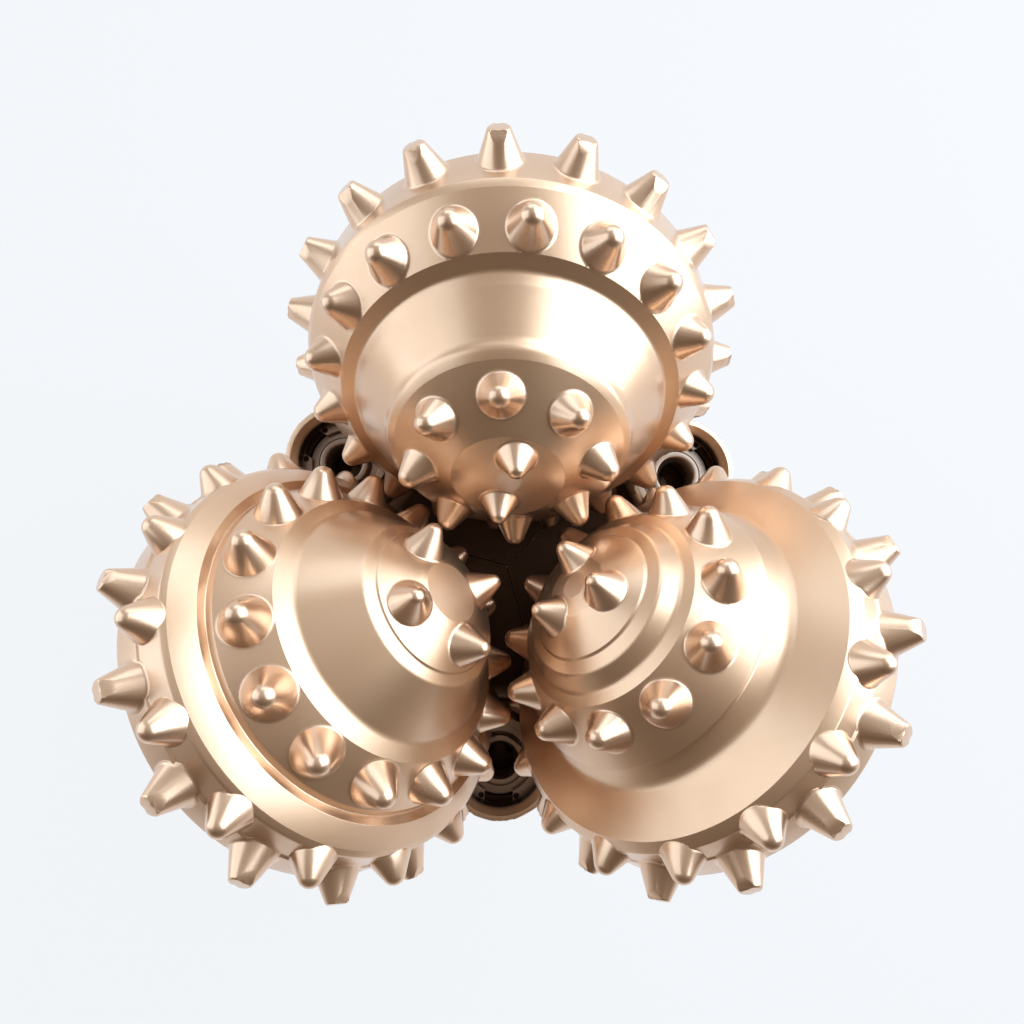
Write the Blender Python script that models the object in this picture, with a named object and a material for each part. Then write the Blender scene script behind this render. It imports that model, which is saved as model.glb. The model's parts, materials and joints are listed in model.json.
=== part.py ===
"""Sealed-bearing tricone drill bit, standing on its threaded pin with its cones up.

Origin: the bit axis at the pin's end face. +Z runs along the bit axis, from the pin to the cones.
Each leg holds a journal whose axis leans inwards and up. The three journal axes meet the bit axis
near one point, the apex. A cone is drawn in its journal's own frame, where X runs outwards along
the journal and Z is the side that faces the hole bottom. Sizes are millimetres until they are built.
"""

from dataclasses import dataclass
from math import acos, asin, atan2, cos, degrees, pi, radians, sin, tan

import bmesh
import bpy
from mathutils import Matrix, Vector

MM = 0.001

# The bit as a whole. The body's height is from the pin's shoulder to the apex, and each drop below is
# how far something lies under the apex, so that the body keeps its shape when that height changes.
LEG_COUNT = 3
FIRST_LEG_AZIMUTH = 90.0
JOURNAL_ANGLE = 33.0
BODY_HEIGHT = 175.0
CONE_OFFSET = 1.8
WELD_GAP = 0.15
FIT_GAP = 0.3

# Threaded pin, a 4-1/2 inch regular rotary shoulder connection
PIN_LENGTH = 108.0
PIN_SMALL_RADIUS = 45.25
PIN_TAPER = 0.125
THREAD_PITCH = 5.08
THREAD_DEPTH = 2.9
THREAD_START = 7.0
THREAD_RELIEF = 10.0
PIN_CHAMFER = 3.0
WATER_BORE_RADIUS = 28.6
WATER_BORE_DROP = 165.0
CHAMBER_RADIUS = 34.0
CHAMBER_TOP_DROP = 133.0
AXIS_ROOT_RADIUS = 1.0

# Shank, body and leg arms
SHOULDER_RADIUS = 67.3
SHANK_RADIUS = 71.0
SHANK_BEVEL = 4.0
SHANK_TOP_DROP = 135.0
CORE_RADIUS = 79.0
DOME_DROP = 105.0
FLARE_TOP_DROP = 97.0
SHIRTTAIL_CLEARANCE = 3.4
ARM_HALF_WIDTH = 46.0
ARM_INNER_X = 50.0
ARM_BOTTOM_DROP = 143.0
ARM_SHOULDER_DROP = 57.0
SHIRTTAIL_HEIGHT = 42.0
SEAM_LAG = 43.0

# Cone back face, seal and bearing, by distance from the apex along the journal
BACK_FACE = 87.0
BACK_FACE_RADIUS = 60.5
BACK_GAP = 1.2
JOURNAL_RADIUS = 30.0
JOURNAL_STEP = 61.8
JOURNAL_ROOT = 8.0
BUSH_WALL = 2.9
BUSH_LENGTH = 16.5
SEAL_SECTION = 5.8
SEAL_LIP = 1.4
SEAL_GLAND_LENGTH = 6.2
BALL_COUNT = 14
BALL_TOUCH = 0.06
BALL_CENTRE = 54.6
BALL_RACE_RADIUS = 25.5
THRUST_FACE = 46.8
THRUST_WASHER = 1.6
PILOT_RADIUS = 13.0
PILOT_LENGTH = 10.0
PILOT_BUSH_WALL = 2.3

# Ball hole and its plug, and the grease hole that meets it
BALL_HOLE_RADIUS = 6.3
BALL_HOLE_SLOPE = 13.7
GREASE_HOLE_RADIUS = 2.5

# Grease reservoir, in a pocket in the leg's back
POCKET_RADIUS = 14.5
POCKET_MOUTH_X = 84.0
POCKET_MOUTH_DROP = 117.0
POCKET_SLOPE = 30.0
POCKET_DEPTH = 36.0
SPOT_FACE_RADIUS = 17.0
SPOT_FACE_DEPTH = 3.5
RESERVOIR_RING_DEPTH = 5.0
RESERVOIR_RING_THICKNESS = 1.6
RESERVOIR_RING_GRIP = 1.4
RESERVOIR_RING_WIDTH = 3.0
CAP_THICKNESS = 4.5
CAP_VENT_RADIUS = 1.5
DIAPHRAGM_FLANGE = 2.0
DIAPHRAGM_WALL = 1.4
DIAPHRAGM_LENGTH = 13.0
CANISTER_WALL = 1.5

# Nozzle, its boss on the body, its O-ring and its snap ring
BOSS_RADIUS = 22.1
BOSS_PLACE_RADIUS = 78.2
BOSS_TOP_DROP = 86.0
BOSS_BOTTOM_DROP = 153.0
BOSS_SLOPE_TOP_DROP = 125.0
BOSS_REACH = 101.0
BOSS_MOUTH_RADIUS = 17.3
NOZZLE_RING_DEPTH = 9.0
NOZZLE_RING_THICKNESS = 1.7
NOZZLE_RING_GRIP = 1.2
NOZZLE_RING_WIDTH = 5.0
NOZZLE_RADIUS = 14.7
NOZZLE_LENGTH = 18.0
NOZZLE_NECK_RADIUS = 10.3
NOZZLE_NECK_HEIGHT = 4.2
NOZZLE_THROAT_RADIUS = 5.6
NOZZLE_INLET_RADIUS = 9.0
NOZZLE_EXIT_RADIUS = 7.6
NOZZLE_SEAL_DEPTH = 8.0
NOZZLE_SEAL_SECTION = 3.0
FLUID_HOLE_RADIUS = 9.0
FLUID_HOLE_DROP = 140.0

# Running room between the cones and everything fixed
SWEEP_CLEARANCE = 2.4

# Round shapes: how many flats they have
CONE_STEPS = 18
JOURNAL_STEPS = 18
SECTOR_STEPS = 7
BOSS_STEPS = 16
SMALL_STEPS = 12
INSERT_STEPS = 5
BALL_STEPS = 5
GROOVE_STEPS = 3
SEAL_SIDES = 4


@dataclass(frozen=True)
class Row:
    """A row of carbide inserts: its count, its base centre, and the insert's own sizes."""

    count: int
    reach: float
    rise: float
    lean: float
    radius: float
    height: float
    tip_radius: float
    first: float


@dataclass(frozen=True)
class Cone:
    """A cone: its outline from the heel to the nose, its joined rows and its nose row."""

    outline: tuple
    rows: tuple
    nose: Row


# An outline point and a row's base are given by reach, the distance from the apex, and by rise, the
# degrees above the rolling cone on which two neighbouring cones would touch. A row's lean is how far
# its inserts tip towards the nose from square to the journal axis, and first is its first insert.
CONES = (
    Cone(
        outline=((106.9, -8.9), (95.5, -3.4), (93.4, -3.1), (77.5, -3.5), (74.0, -5.3), (70.2, -5.0),
                 (54.6, -4.5), (50.7, -3.7), (31.3, -14.1), (25.1, -37.4)),
        rows=(Row(20, 103.3, -7.3, -2.0, 6.2, 7.8, 3.2, 4.6),
              Row(18, 84.5, -3.4, 36.0, 6.2, 7.4, 2.5, 16.7),
              Row(8, 41.9, -7.2, 55.0, 6.2, 8.2, 2.6, 6.2)),
        nose=Row(2, 27.2, -25.5, 84.0, 5.6, 7.5, 2.4, 167.7),
    ),
    Cone(
        outline=((106.9, -8.9), (92.4, -2.4), (88.8, -2.9), (82.8, -3.6), (80.6, -4.5), (64.9, -6.5),
                 (58.6, -7.5), (38.3, -9.6), (32.6, -12.0), (24.2, -24.8)),
        rows=(Row(15, 103.1, -7.3, -2.0, 6.2, 7.8, 3.2, 9.7),
              Row(15, 95.0, -3.7, -6.0, 5.5, 6.8, 2.4, 20.9),
              Row(15, 72.1, -4.2, 42.0, 6.3, 7.6, 2.6, 2.1)),
        nose=Row(4, 30.7, -15.4, 60.0, 5.6, 7.4, 2.4, 80.9),
    ),
    Cone(
        outline=((106.9, -8.9), (92.4, -3.0), (88.6, -3.4), (79.4, -5.7), (69.1, -7.2), (49.0, -6.3),
                 (44.2, -9.8), (36.0, -13.0), (28.2, -21.4), (24.1, -37.0)),
        rows=(Row(16, 103.1, -7.3, -2.0, 6.2, 7.8, 3.2, 8.0),
              Row(16, 93.5, -3.6, -2.0, 5.6, 6.6, 2.4, 19.6),
              Row(12, 57.1, -6.4, 50.0, 6.3, 8.2, 2.6, 6.4)),
        nose=Row(3, 27.7, -24.1, 78.0, 5.6, 7.6, 2.4, 16.0),
    ),
)
INSERT_GRIP = 7.0
NOSE_GRIP = 7.0

# Finishes: colour, roughness and metallic value
GOLD_PAINT = ("gold_paint", (0.62, 0.45, 0.33), 0.38, 0.85)
CARBIDE = ("carbide", (0.60, 0.44, 0.33), 0.34, 0.85)
BARE_STEEL = ("bare_steel", (0.50, 0.50, 0.51), 0.35, 1.0)
BRONZE = ("bronze", (0.66, 0.42, 0.20), 0.35, 1.0)
RUBBER = ("rubber", (0.02, 0.02, 0.02), 0.7, 0.0)

# Sizes that follow from the ones above
ROLL = degrees(acos(sin(radians(JOURNAL_ANGLE)) ** 2 - 0.5 * cos(radians(JOURNAL_ANGLE)) ** 2)) / 2
LEG_STEP = 360.0 / LEG_COUNT
FULL_STEPS = LEG_COUNT * SECTOR_STEPS
LEG_FACE = BACK_FACE + BACK_GAP
BUSH_OUTER = JOURNAL_RADIUS + FIT_GAP + BUSH_WALL
CONE_BORE = BUSH_OUTER + FIT_GAP
SEAL_OUTER = JOURNAL_RADIUS + FIT_GAP + SEAL_SECTION
GLAND_END = BACK_FACE - SEAL_LIP
GLAND_START = GLAND_END - SEAL_GLAND_LENGTH
RACE_BORE = BALL_RACE_RADIUS + FIT_GAP
BALL_RADIUS = BALL_RACE_RADIUS * tan(pi / BALL_COUNT) + BALL_TOUCH
RACE_GROOVE = (BALL_RADIUS + FIT_GAP) / cos(pi / (2 * GROOVE_STEPS))
JOURNAL_NECK = BALL_RACE_RADIUS - 0.5 * FIT_GAP
CONE_THRUST_FACE = THRUST_FACE - THRUST_WASHER - 2 * FIT_GAP
PILOT_END = THRUST_FACE - PILOT_LENGTH
PILOT_BUSH_OUTER = PILOT_RADIUS + FIT_GAP + PILOT_BUSH_WALL
PILOT_BORE = PILOT_BUSH_OUTER + FIT_GAP
PILOT_FLOOR = PILOT_END - 2 * FIT_GAP
GAGE_ROW = CONES[0].rows[0]


def point(reach, rise):
    """A place on a cone's outline, as distance along the journal and radius."""
    angle = radians(ROLL + rise)
    return reach * cos(angle), reach * sin(angle)


def tip(row):
    """The tip circle of a row, as distance along the journal and radius."""
    along, radius = point(row.reach, row.rise)
    return along - row.height * sin(radians(row.lean)), radius + row.height * cos(radians(row.lean))


GAGE_TIP = tip(GAGE_ROW)
GAUGE_RADIUS = GAGE_TIP[0] * cos(radians(JOURNAL_ANGLE)) + GAGE_TIP[1] * sin(radians(JOURNAL_ANGLE))
LEG_RADIUS = GAUGE_RADIUS - SHIRTTAIL_CLEARANCE
APEX_HEIGHT = PIN_LENGTH + BODY_HEIGHT
WATER_BORE_END = APEX_HEIGHT - WATER_BORE_DROP
CHAMBER_TOP = APEX_HEIGHT - CHAMBER_TOP_DROP
SHANK_TOP = APEX_HEIGHT - SHANK_TOP_DROP
DOME_HEIGHT = APEX_HEIGHT - DOME_DROP
FLARE_TOP = APEX_HEIGHT - FLARE_TOP_DROP
ARM_BOTTOM = APEX_HEIGHT - ARM_BOTTOM_DROP
ARM_SHOULDER = APEX_HEIGHT - ARM_SHOULDER_DROP
POCKET_MOUTH_Z = APEX_HEIGHT - POCKET_MOUTH_DROP
BOSS_TOP = APEX_HEIGHT - BOSS_TOP_DROP
BOSS_BOTTOM = APEX_HEIGHT - BOSS_BOTTOM_DROP
BOSS_SLOPE_TOP = APEX_HEIGHT - BOSS_SLOPE_TOP_DROP
FLUID_HOLE_START = APEX_HEIGHT - FLUID_HOLE_DROP


def clear_scene():
    """Removes whatever the scene holds."""
    for thing in list(bpy.data.objects):
        bpy.data.objects.remove(thing, do_unlink=True)


def material(finish):
    """The material of a finish, made once."""
    name, colour, roughness, metallic = finish
    made = bpy.data.materials.get(name)
    if made is None:
        made = bpy.data.materials.new(name)
        made.use_nodes = True
        shader = made.node_tree.nodes["Principled BSDF"]
        shader.inputs["Base Color"].default_value = (*colour, 1.0)
        shader.inputs["Roughness"].default_value = roughness
        shader.inputs["Metallic"].default_value = metallic
    return made


def frame(name, matrix, parent=None):
    """An empty that carries the pieces of a leg or of a journal."""
    empty = bpy.data.objects.new(name, None)
    empty.empty_display_size = 20 * MM
    bpy.context.collection.objects.link(empty)
    empty.parent = parent
    empty.matrix_local = matrix
    return empty


def piece(name, mesh, finish, parent, smooth=True):
    """An object of the bit, on its frame."""
    made = bpy.data.objects.new(name, mesh)
    bpy.context.collection.objects.link(made)
    made.parent = parent
    mesh.materials.append(material(finish))
    if smooth:
        mesh.shade_smooth()
        mesh.set_sharp_from_angle(angle=radians(30))
    return made


def guide(name, mesh, parent):
    """A cutter, or a block that is joined to a piece, which the finished bit doesn't show."""
    made = bpy.data.objects.new(name, mesh)
    bpy.context.collection.objects.link(made)
    made.parent = parent
    made.hide_render = True
    made.display_type = "WIRE"
    return made


def combine(target, other, operation):
    """Joins another object to the target, cuts it away or keeps what both fill."""
    modifier = target.modifiers.new(f"{operation.lower()} {other.name}", "BOOLEAN")
    modifier.operation = operation
    modifier.object = other
    modifier.solver = "EXACT"


def to_mesh(name, bm):
    """Closes the working mesh, points its faces outwards and makes it a mesh."""
    bmesh.ops.recalc_face_normals(bm, faces=bm.faces)
    mesh = bpy.data.meshes.new(name)
    bm.to_mesh(mesh)
    bm.free()
    return mesh


def spun(bm, outline, steps, sweep=360.0, start=0.0):
    """Spins a closed outline of (height along X, radius) about the X axis, in the working mesh."""
    turn = Matrix.Rotation(radians(start), 3, "X")
    corners = [bm.verts.new(turn @ Vector((along * MM, 0.0, radius * MM))) for along, radius in outline]
    whole = sweep > 359.9
    if whole:
        shape = [bm.edges.new(pair) for pair in zip(corners, corners[1:] + corners[:1])
                 if max(pair[0].co.yz.length, pair[1].co.yz.length) > 1e-7]
    else:
        shape = [bm.faces.new(corners)]
    made = bmesh.ops.spin(bm, geom=corners + shape, cent=(0, 0, 0), axis=(1, 0, 0), dvec=(0, 0, 0),
                          angle=radians(sweep), steps=steps, use_merge=whole, use_duplicate=False)
    bmesh.ops.remove_doubles(bm, verts=bm.verts, dist=1e-7)
    return made


def turned(name, outline, steps):
    """A solid turned about the X axis from a closed outline of (along, radius)."""
    bm = bmesh.new()
    spun(bm, outline, steps)
    return to_mesh(name, bm)


def bored(radius, steps):
    """The radius of a flat-sided bore's corners, so that its flats stand at the bore's radius."""
    return radius / cos(pi / steps)


def ring(name, start, end, inner, outer, steps):
    """A plain sleeve or washer about the X axis."""
    wide = bored(inner, steps)
    return turned(name, ((start, wide), (start, outer), (end, outer), (end, wide)), steps)


def ring_seal(name, along, centre_radius, section, steps):
    """An O-ring about the X axis."""
    turns = [2 * pi * i / SEAL_SIDES for i in range(SEAL_SIDES)]
    outline = [(along + section / 2 * cos(a), centre_radius + section / 2 * sin(a)) for a in turns]
    return turned(name, outline, steps)


def rod(name, start, end, radius, steps):
    """A plain cylinder about the X axis."""
    return turned(name, ((start, 0.0), (start, radius), (end, radius), (end, 0.0)), steps)


def along_axis(origin, direction):
    """A matrix at origin, in millimetres, whose X axis runs along direction."""
    turn = Vector(direction).to_track_quat("X", "Z").to_matrix().to_4x4()
    return Matrix.Translation(Vector(origin) * MM) @ turn


def arc(centre, radius, first, last, steps):
    """Points of a circular arc in an outline, angles in degrees from the X axis."""
    turns = [radians(first + (last - first) * i / steps) for i in range(steps + 1)]
    return [(centre[0] + radius * cos(a), centre[1] + radius * sin(a)) for a in turns]


def insert_mesh(row, grip, steps):
    """An insert on its own axis: its grip below the socket's edge, then its cone up to the tip."""
    bm = bmesh.new()
    outline = ((-grip, row.radius), (0.0, row.radius), (row.height, row.tip_radius))
    rings = []
    for along, radius in outline:
        turns = (2 * pi * i / steps for i in range(steps))
        rings.append([bm.verts.new(Vector((along, radius * sin(a), radius * cos(a))) * MM) for a in turns])
    for low, high in zip(rings, rings[1:]):
        for i in range(steps):
            j = (i + 1) % steps
            bm.faces.new((low[i], low[j], high[j], high[i]))
    bm.faces.new(rings[0])
    bm.faces.new(rings[-1])
    return to_mesh("insert", bm)


def insert_place(row, index):
    """The matrix of an insert in its cone's frame, X out of the socket."""
    along, radius = point(row.reach, row.rise)
    turn = Matrix.Rotation(-radians(row.first + 360.0 * index / row.count), 4, "X")
    lean = radians(row.lean)
    seat = along_axis((along, 0.0, radius), (-sin(lean), 0.0, cos(lean)))
    return turn @ seat


def insert_crown(name, rows):
    """All the inserts of the given rows as one mesh, sunk in their sockets."""
    bm = bmesh.new()
    for row in rows:
        for index in range(row.count):
            insert = insert_mesh(row, INSERT_GRIP, INSERT_STEPS)
            insert.transform(insert_place(row, index))
            bm.from_mesh(insert)
            bpy.data.meshes.remove(insert)
    return to_mesh(name, bm)


def cone_outline(cone):
    """The cone's closed outline: outside from heel to nose, then the bearing bores back to the mouth."""
    outside = [point(reach, rise) for reach, rise in cone.outline]
    nose = (outside[-1][0], 0.0)
    half_groove = degrees(asin((RACE_BORE - BALL_RACE_RADIUS) / RACE_GROOVE))
    groove = arc((BALL_CENTRE, BALL_RACE_RADIUS), RACE_GROOVE, 180 - half_groove, half_groove, GROOVE_STEPS)
    bores = [
        (PILOT_FLOOR, 0.0),
        (PILOT_FLOOR, PILOT_BORE),
        (CONE_THRUST_FACE, PILOT_BORE),
        (CONE_THRUST_FACE, RACE_BORE),
        *groove,
        (JOURNAL_STEP + FIT_GAP, RACE_BORE),
        (JOURNAL_STEP + FIT_GAP, CONE_BORE),
        (GLAND_START, CONE_BORE),
        (GLAND_START, SEAL_OUTER + FIT_GAP),
        (GLAND_END, SEAL_OUTER + FIT_GAP),
        (GLAND_END, JOURNAL_RADIUS + 3 * FIT_GAP),
        (BACK_FACE, JOURNAL_RADIUS + 3 * FIT_GAP),
    ]
    bores = [(along, bored(radius, CONE_STEPS)) for along, radius in bores]
    return [(BACK_FACE, BACK_FACE_RADIUS), *outside, nose, *bores]


def journal_outline():
    """The journal's closed outline, from its root inside the leg to the pilot pin's end."""
    half_groove = degrees(asin((BALL_RACE_RADIUS - JOURNAL_NECK) / RACE_GROOVE))
    groove = arc((BALL_CENTRE, BALL_RACE_RADIUS), RACE_GROOVE, 180 + half_groove, 360 - half_groove, GROOVE_STEPS)
    root = LEG_FACE + JOURNAL_ROOT
    return [
        (root, 0.0),
        (root, JOURNAL_RADIUS),
        (JOURNAL_STEP + 2 * FIT_GAP, JOURNAL_RADIUS),
        (JOURNAL_STEP + 2 * FIT_GAP, JOURNAL_NECK),
        *reversed(groove),
        (THRUST_FACE, JOURNAL_NECK),
        (THRUST_FACE, PILOT_RADIUS),
        (PILOT_END, PILOT_RADIUS),
        (PILOT_END, 0.0),
    ]


def sweep_outline():
    """The room that a turning cone needs, with its running clearance."""
    outer = GAGE_TIP[1] + SWEEP_CLEARANCE
    waist = point(83.0, 4.5)
    nose = point(33.0, 6.0)
    heel = GAGE_TIP[0] - GAGE_ROW.radius - SWEEP_CLEARANCE
    return ((LEG_FACE, 0.0), (LEG_FACE, outer), (heel, outer), waist, nose, (nose[0] - 15.0, 0.0))


def pin_outline():
    """The pin, shank and core as heights and radii, from the pin's end up to the dome."""
    def crest(height):
        return PIN_SMALL_RADIUS + PIN_TAPER * height

    outline = [(0.0, WATER_BORE_RADIUS), (0.0, crest(0) - THREAD_DEPTH - PIN_CHAMFER),
               (PIN_CHAMFER, crest(PIN_CHAMFER) - THREAD_DEPTH)]
    thread_end = PIN_LENGTH - THREAD_RELIEF
    turns = int((thread_end - THREAD_START) / THREAD_PITCH)
    for index in range(turns):
        foot = THREAD_START + index * THREAD_PITCH
        outline.append((foot, crest(foot) - THREAD_DEPTH))
        outline.append((foot + THREAD_PITCH / 2, crest(foot + THREAD_PITCH / 2)))
    end = THREAD_START + turns * THREAD_PITCH
    outline += [
        (end, crest(end) - THREAD_DEPTH),
        (PIN_LENGTH, crest(end) - THREAD_DEPTH),
        (PIN_LENGTH, SHOULDER_RADIUS),
        (PIN_LENGTH + SHANK_BEVEL, SHANK_RADIUS),
        (SHANK_TOP, SHANK_RADIUS),
        (SHANK_TOP + CORE_RADIUS - SHANK_RADIUS, CORE_RADIUS),
        (DOME_HEIGHT, CORE_RADIUS),
        (DOME_HEIGHT, AXIS_ROOT_RADIUS),
        (CHAMBER_TOP, AXIS_ROOT_RADIUS),
        (CHAMBER_TOP, CHAMBER_RADIUS),
        (WATER_BORE_END + CHAMBER_RADIUS - WATER_BORE_RADIUS, CHAMBER_RADIUS),
        (WATER_BORE_END, WATER_BORE_RADIUS),
    ]
    return outline


# Stands a shape that was turned about X up on the bit axis: X goes to Z and Z to X.
UPRIGHT = Matrix(((0, 0, 1, 0), (0, -1, 0, 0), (1, 0, 0, 0), (0, 0, 0, 1)))


def leg_sector(name):
    """A third of the pin, shank and core, between two weld planes that keep the weld gap."""
    bm = bmesh.new()
    spun(bm, pin_outline(), SECTOR_STEPS, LEG_STEP)
    bmesh.ops.transform(bm, matrix=UPRIGHT, verts=bm.verts)
    for edge_angle, way in ((0.0, 1.0), (LEG_STEP, -1.0)):
        face_turn = radians(edge_angle)
        inwards = Vector((-sin(face_turn), cos(face_turn), 0.0)) * way
        on_face = [v for v in bm.verts if abs(atan2(v.co.y, v.co.x) - face_turn) < 1e-4]
        bmesh.ops.translate(bm, vec=inwards * WELD_GAP * MM, verts=on_face)
    bmesh.ops.rotate(bm, cent=(0, 0, 0), matrix=Matrix.Rotation(radians(-SEAM_LAG), 3, "Z"), verts=bm.verts)
    return to_mesh(name, bm)


def envelope_outline():
    """The leg's outside, by height and radius: the flare out of the shank, then the shirttail cylinder."""
    inside = SHANK_RADIUS - SHANK_BEVEL
    top = APEX_HEIGHT
    return ((ARM_BOTTOM, 0.0), (ARM_BOTTOM, inside), (FLARE_TOP, LEG_RADIUS), (top, LEG_RADIUS), (top, 0.0))


def boss_envelope_outline():
    """The outside of the nozzle bosses, by height and radius: a slope out of the shank, then upright."""
    inside = SHANK_RADIUS - SHANK_BEVEL
    top = APEX_HEIGHT
    return ((BOSS_BOTTOM, 0.0), (BOSS_BOTTOM, inside), (BOSS_SLOPE_TOP, BOSS_REACH), (top, BOSS_REACH), (top, 0.0))


def arm_block(name):
    """The leg arm before it is trimmed: a slab seen from the side, with the shirttail's round end."""
    round_end = [(ARM_HALF_WIDTH * cos(a), ARM_SHOULDER + SHIRTTAIL_HEIGHT * sin(a))
                 for a in (pi * i / 10 for i in range(11))]
    outline = [(ARM_HALF_WIDTH, ARM_BOTTOM), *round_end, (-ARM_HALF_WIDTH, ARM_BOTTOM)]
    bm = bmesh.new()
    corners = [bm.verts.new(Vector((ARM_INNER_X, y, z)) * MM) for y, z in outline]
    face = bm.faces.new(corners)
    grown = bmesh.ops.extrude_face_region(bm, geom=[face])
    moved = [item for item in grown["geom"] if isinstance(item, bmesh.types.BMVert)]
    bmesh.ops.translate(bm, vec=Vector((GAUGE_RADIUS, 0, 0)) * MM, verts=moved)
    return to_mesh(name, bm)


def block(name, low, high):
    """A plain block between two corners, in millimetres."""
    bm = bmesh.new()
    size = Vector(high) - Vector(low)
    middle = (Vector(high) + Vector(low)) / 2
    bmesh.ops.create_cube(bm, size=1.0, matrix=Matrix.Translation(middle * MM) @ Matrix.Diagonal((*(size * MM), 1)))
    return to_mesh(name, bm)


def journal_frame(azimuth=0.0):
    """The journal's frame inside a leg's frame: X outwards along the journal, Z to the hole bottom."""
    lean = radians(JOURNAL_ANGLE)
    outwards = Vector((cos(lean), 0, -sin(lean)))
    across = Vector((0, 1, 0))
    up = outwards.cross(across)
    turn = Matrix((outwards, across, up)).transposed().to_4x4()
    place = Matrix.Translation(Vector((0, CONE_OFFSET, APEX_HEIGHT)) * MM)
    return Matrix.Rotation(radians(azimuth), 4, "Z") @ place @ turn


def snap_ring(name, start, thickness, outer, width):
    """A snap ring about the X axis, with the gap between its ends."""
    bm = bmesh.new()
    inner = outer - width
    outline = ((start, inner), (start, outer), (start + thickness, outer), (start + thickness, inner))
    spun(bm, outline, SMALL_STEPS - 2, 325.0, 17.5)
    return to_mesh(name, bm)


def build_leg(number, azimuth):
    """A leg with its journal, and every bore and pocket in it. Gives the leg and its two frames."""
    leg_frame = frame(f"leg_{number}_frame", Matrix.Rotation(radians(azimuth), 4, "Z"))
    journal = frame(f"journal_{number}_axis", journal_frame(), leg_frame)
    leg = piece(f"leg_{number}", leg_sector(f"leg_{number}"), GOLD_PAINT, leg_frame)

    # The envelopes have the sector's own facets, so they are turned to start at its weld face.
    facets = Matrix.Rotation(radians(-SEAM_LAG), 4, "Z") @ UPRIGHT
    outside = guide(f"leg_{number}_outside", turned("outside", envelope_outline(), FULL_STEPS), leg_frame)
    outside.matrix_local = facets
    arm = guide(f"arm_{number}", arm_block("arm"), leg_frame)
    combine(arm, outside, "INTERSECT")
    reach = 2 * GAUGE_RADIUS
    face_cut = guide(f"face_cut_{number}", block("face", (-reach, -reach, -reach), (LEG_FACE, reach, reach)), journal)
    combine(arm, face_cut, "DIFFERENCE")
    combine(leg, arm, "UNION")

    boss_place = Matrix.Rotation(radians(LEG_STEP / 2), 4, "Z") @ Matrix.Translation((BOSS_PLACE_RADIUS * MM, 0, 0))
    boss_frame = frame(f"nozzle_{number}_axis", boss_place @ UPRIGHT, leg_frame)
    boss = guide(f"boss_{number}", rod("boss", PIN_LENGTH, BOSS_TOP, BOSS_RADIUS, BOSS_STEPS), boss_frame)
    boss_outside = guide(f"boss_{number}_outside", turned("boss outside", boss_envelope_outline(), FULL_STEPS), leg_frame)
    boss_outside.matrix_local = facets
    combine(boss, boss_outside, "INTERSECT")
    combine(leg, boss, "UNION")

    for side, turn in (("own", 0.0), ("next", LEG_STEP), ("last", -LEG_STEP)):
        room = guide(f"sweep_{number}_{side}", turned("sweep", sweep_outline(), JOURNAL_STEPS), leg_frame)
        room.matrix_local = journal_frame(turn)
        combine(leg, room, "DIFFERENCE")

    shaft = guide(f"shaft_{number}", turned("shaft", journal_outline(), JOURNAL_STEPS), journal)
    combine(leg, shaft, "UNION")
    return leg, leg_frame, journal, boss_frame


def ball_hole_place():
    """The ball hole's frame inside the journal's: from the race's floor out through the leg's back."""
    slope = radians(BALL_HOLE_SLOPE)
    floor = BALL_RACE_RADIUS - RACE_GROOVE
    return along_axis((BALL_CENTRE, 0.0, -floor), (cos(slope), 0.0, sin(slope)))


def build_ball_hole(number, leg, journal):
    """The hole that the balls go in through, and the plug that holds them."""
    place = ball_hole_place()
    mouth = (LEG_RADIUS / cos(radians(JOURNAL_ANGLE)) - BALL_CENTRE) * 1.2
    hole = guide(f"ball_hole_{number}", rod("ball hole", 0.0, mouth, bored(BALL_HOLE_RADIUS, SMALL_STEPS), SMALL_STEPS),
                 journal)
    hole.matrix_local = place
    combine(leg, hole, "DIFFERENCE")
    plug = piece(f"ball_plug_{number}", rod("ball plug", 0.0, mouth - 1.0, BALL_HOLE_RADIUS - FIT_GAP, 12),
                 BARE_STEEL, journal)
    plug.matrix_local = place
    race = guide(f"race_room_{number}", turned("race room", arc((BALL_CENTRE, BALL_RACE_RADIUS),
                 RACE_GROOVE + FIT_GAP, 0, 315, 7), JOURNAL_STEPS), journal)
    combine(plug, race, "DIFFERENCE")
    outside = bpy.data.objects[f"leg_{number}_outside"]
    combine(plug, outside, "INTERSECT")


def build_cone(number, cone, journal):
    """The cone with its joined rows, and its nose inserts as pieces of their own."""
    shell = piece(f"cone_{number}", turned(f"cone_{number}", cone_outline(cone), CONE_STEPS), GOLD_PAINT, journal)
    crown = guide(f"inserts_{number}", insert_crown("inserts", cone.rows), journal)
    combine(shell, crown, "UNION")
    row = cone.nose
    for index in range(row.count):
        place = insert_place(row, index)
        socket = guide(f"nose_socket_{number}_{index + 1}",
                       rod("socket", -NOSE_GRIP - FIT_GAP, row.height, bored(row.radius + 0.5 * FIT_GAP, 8), 8), journal)
        socket.matrix_local = place
        combine(shell, socket, "DIFFERENCE")
        insert = piece(f"nose_insert_{number}_{index + 1}", insert_mesh(row, NOSE_GRIP, 8), CARBIDE, journal)
        insert.matrix_local = place


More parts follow.
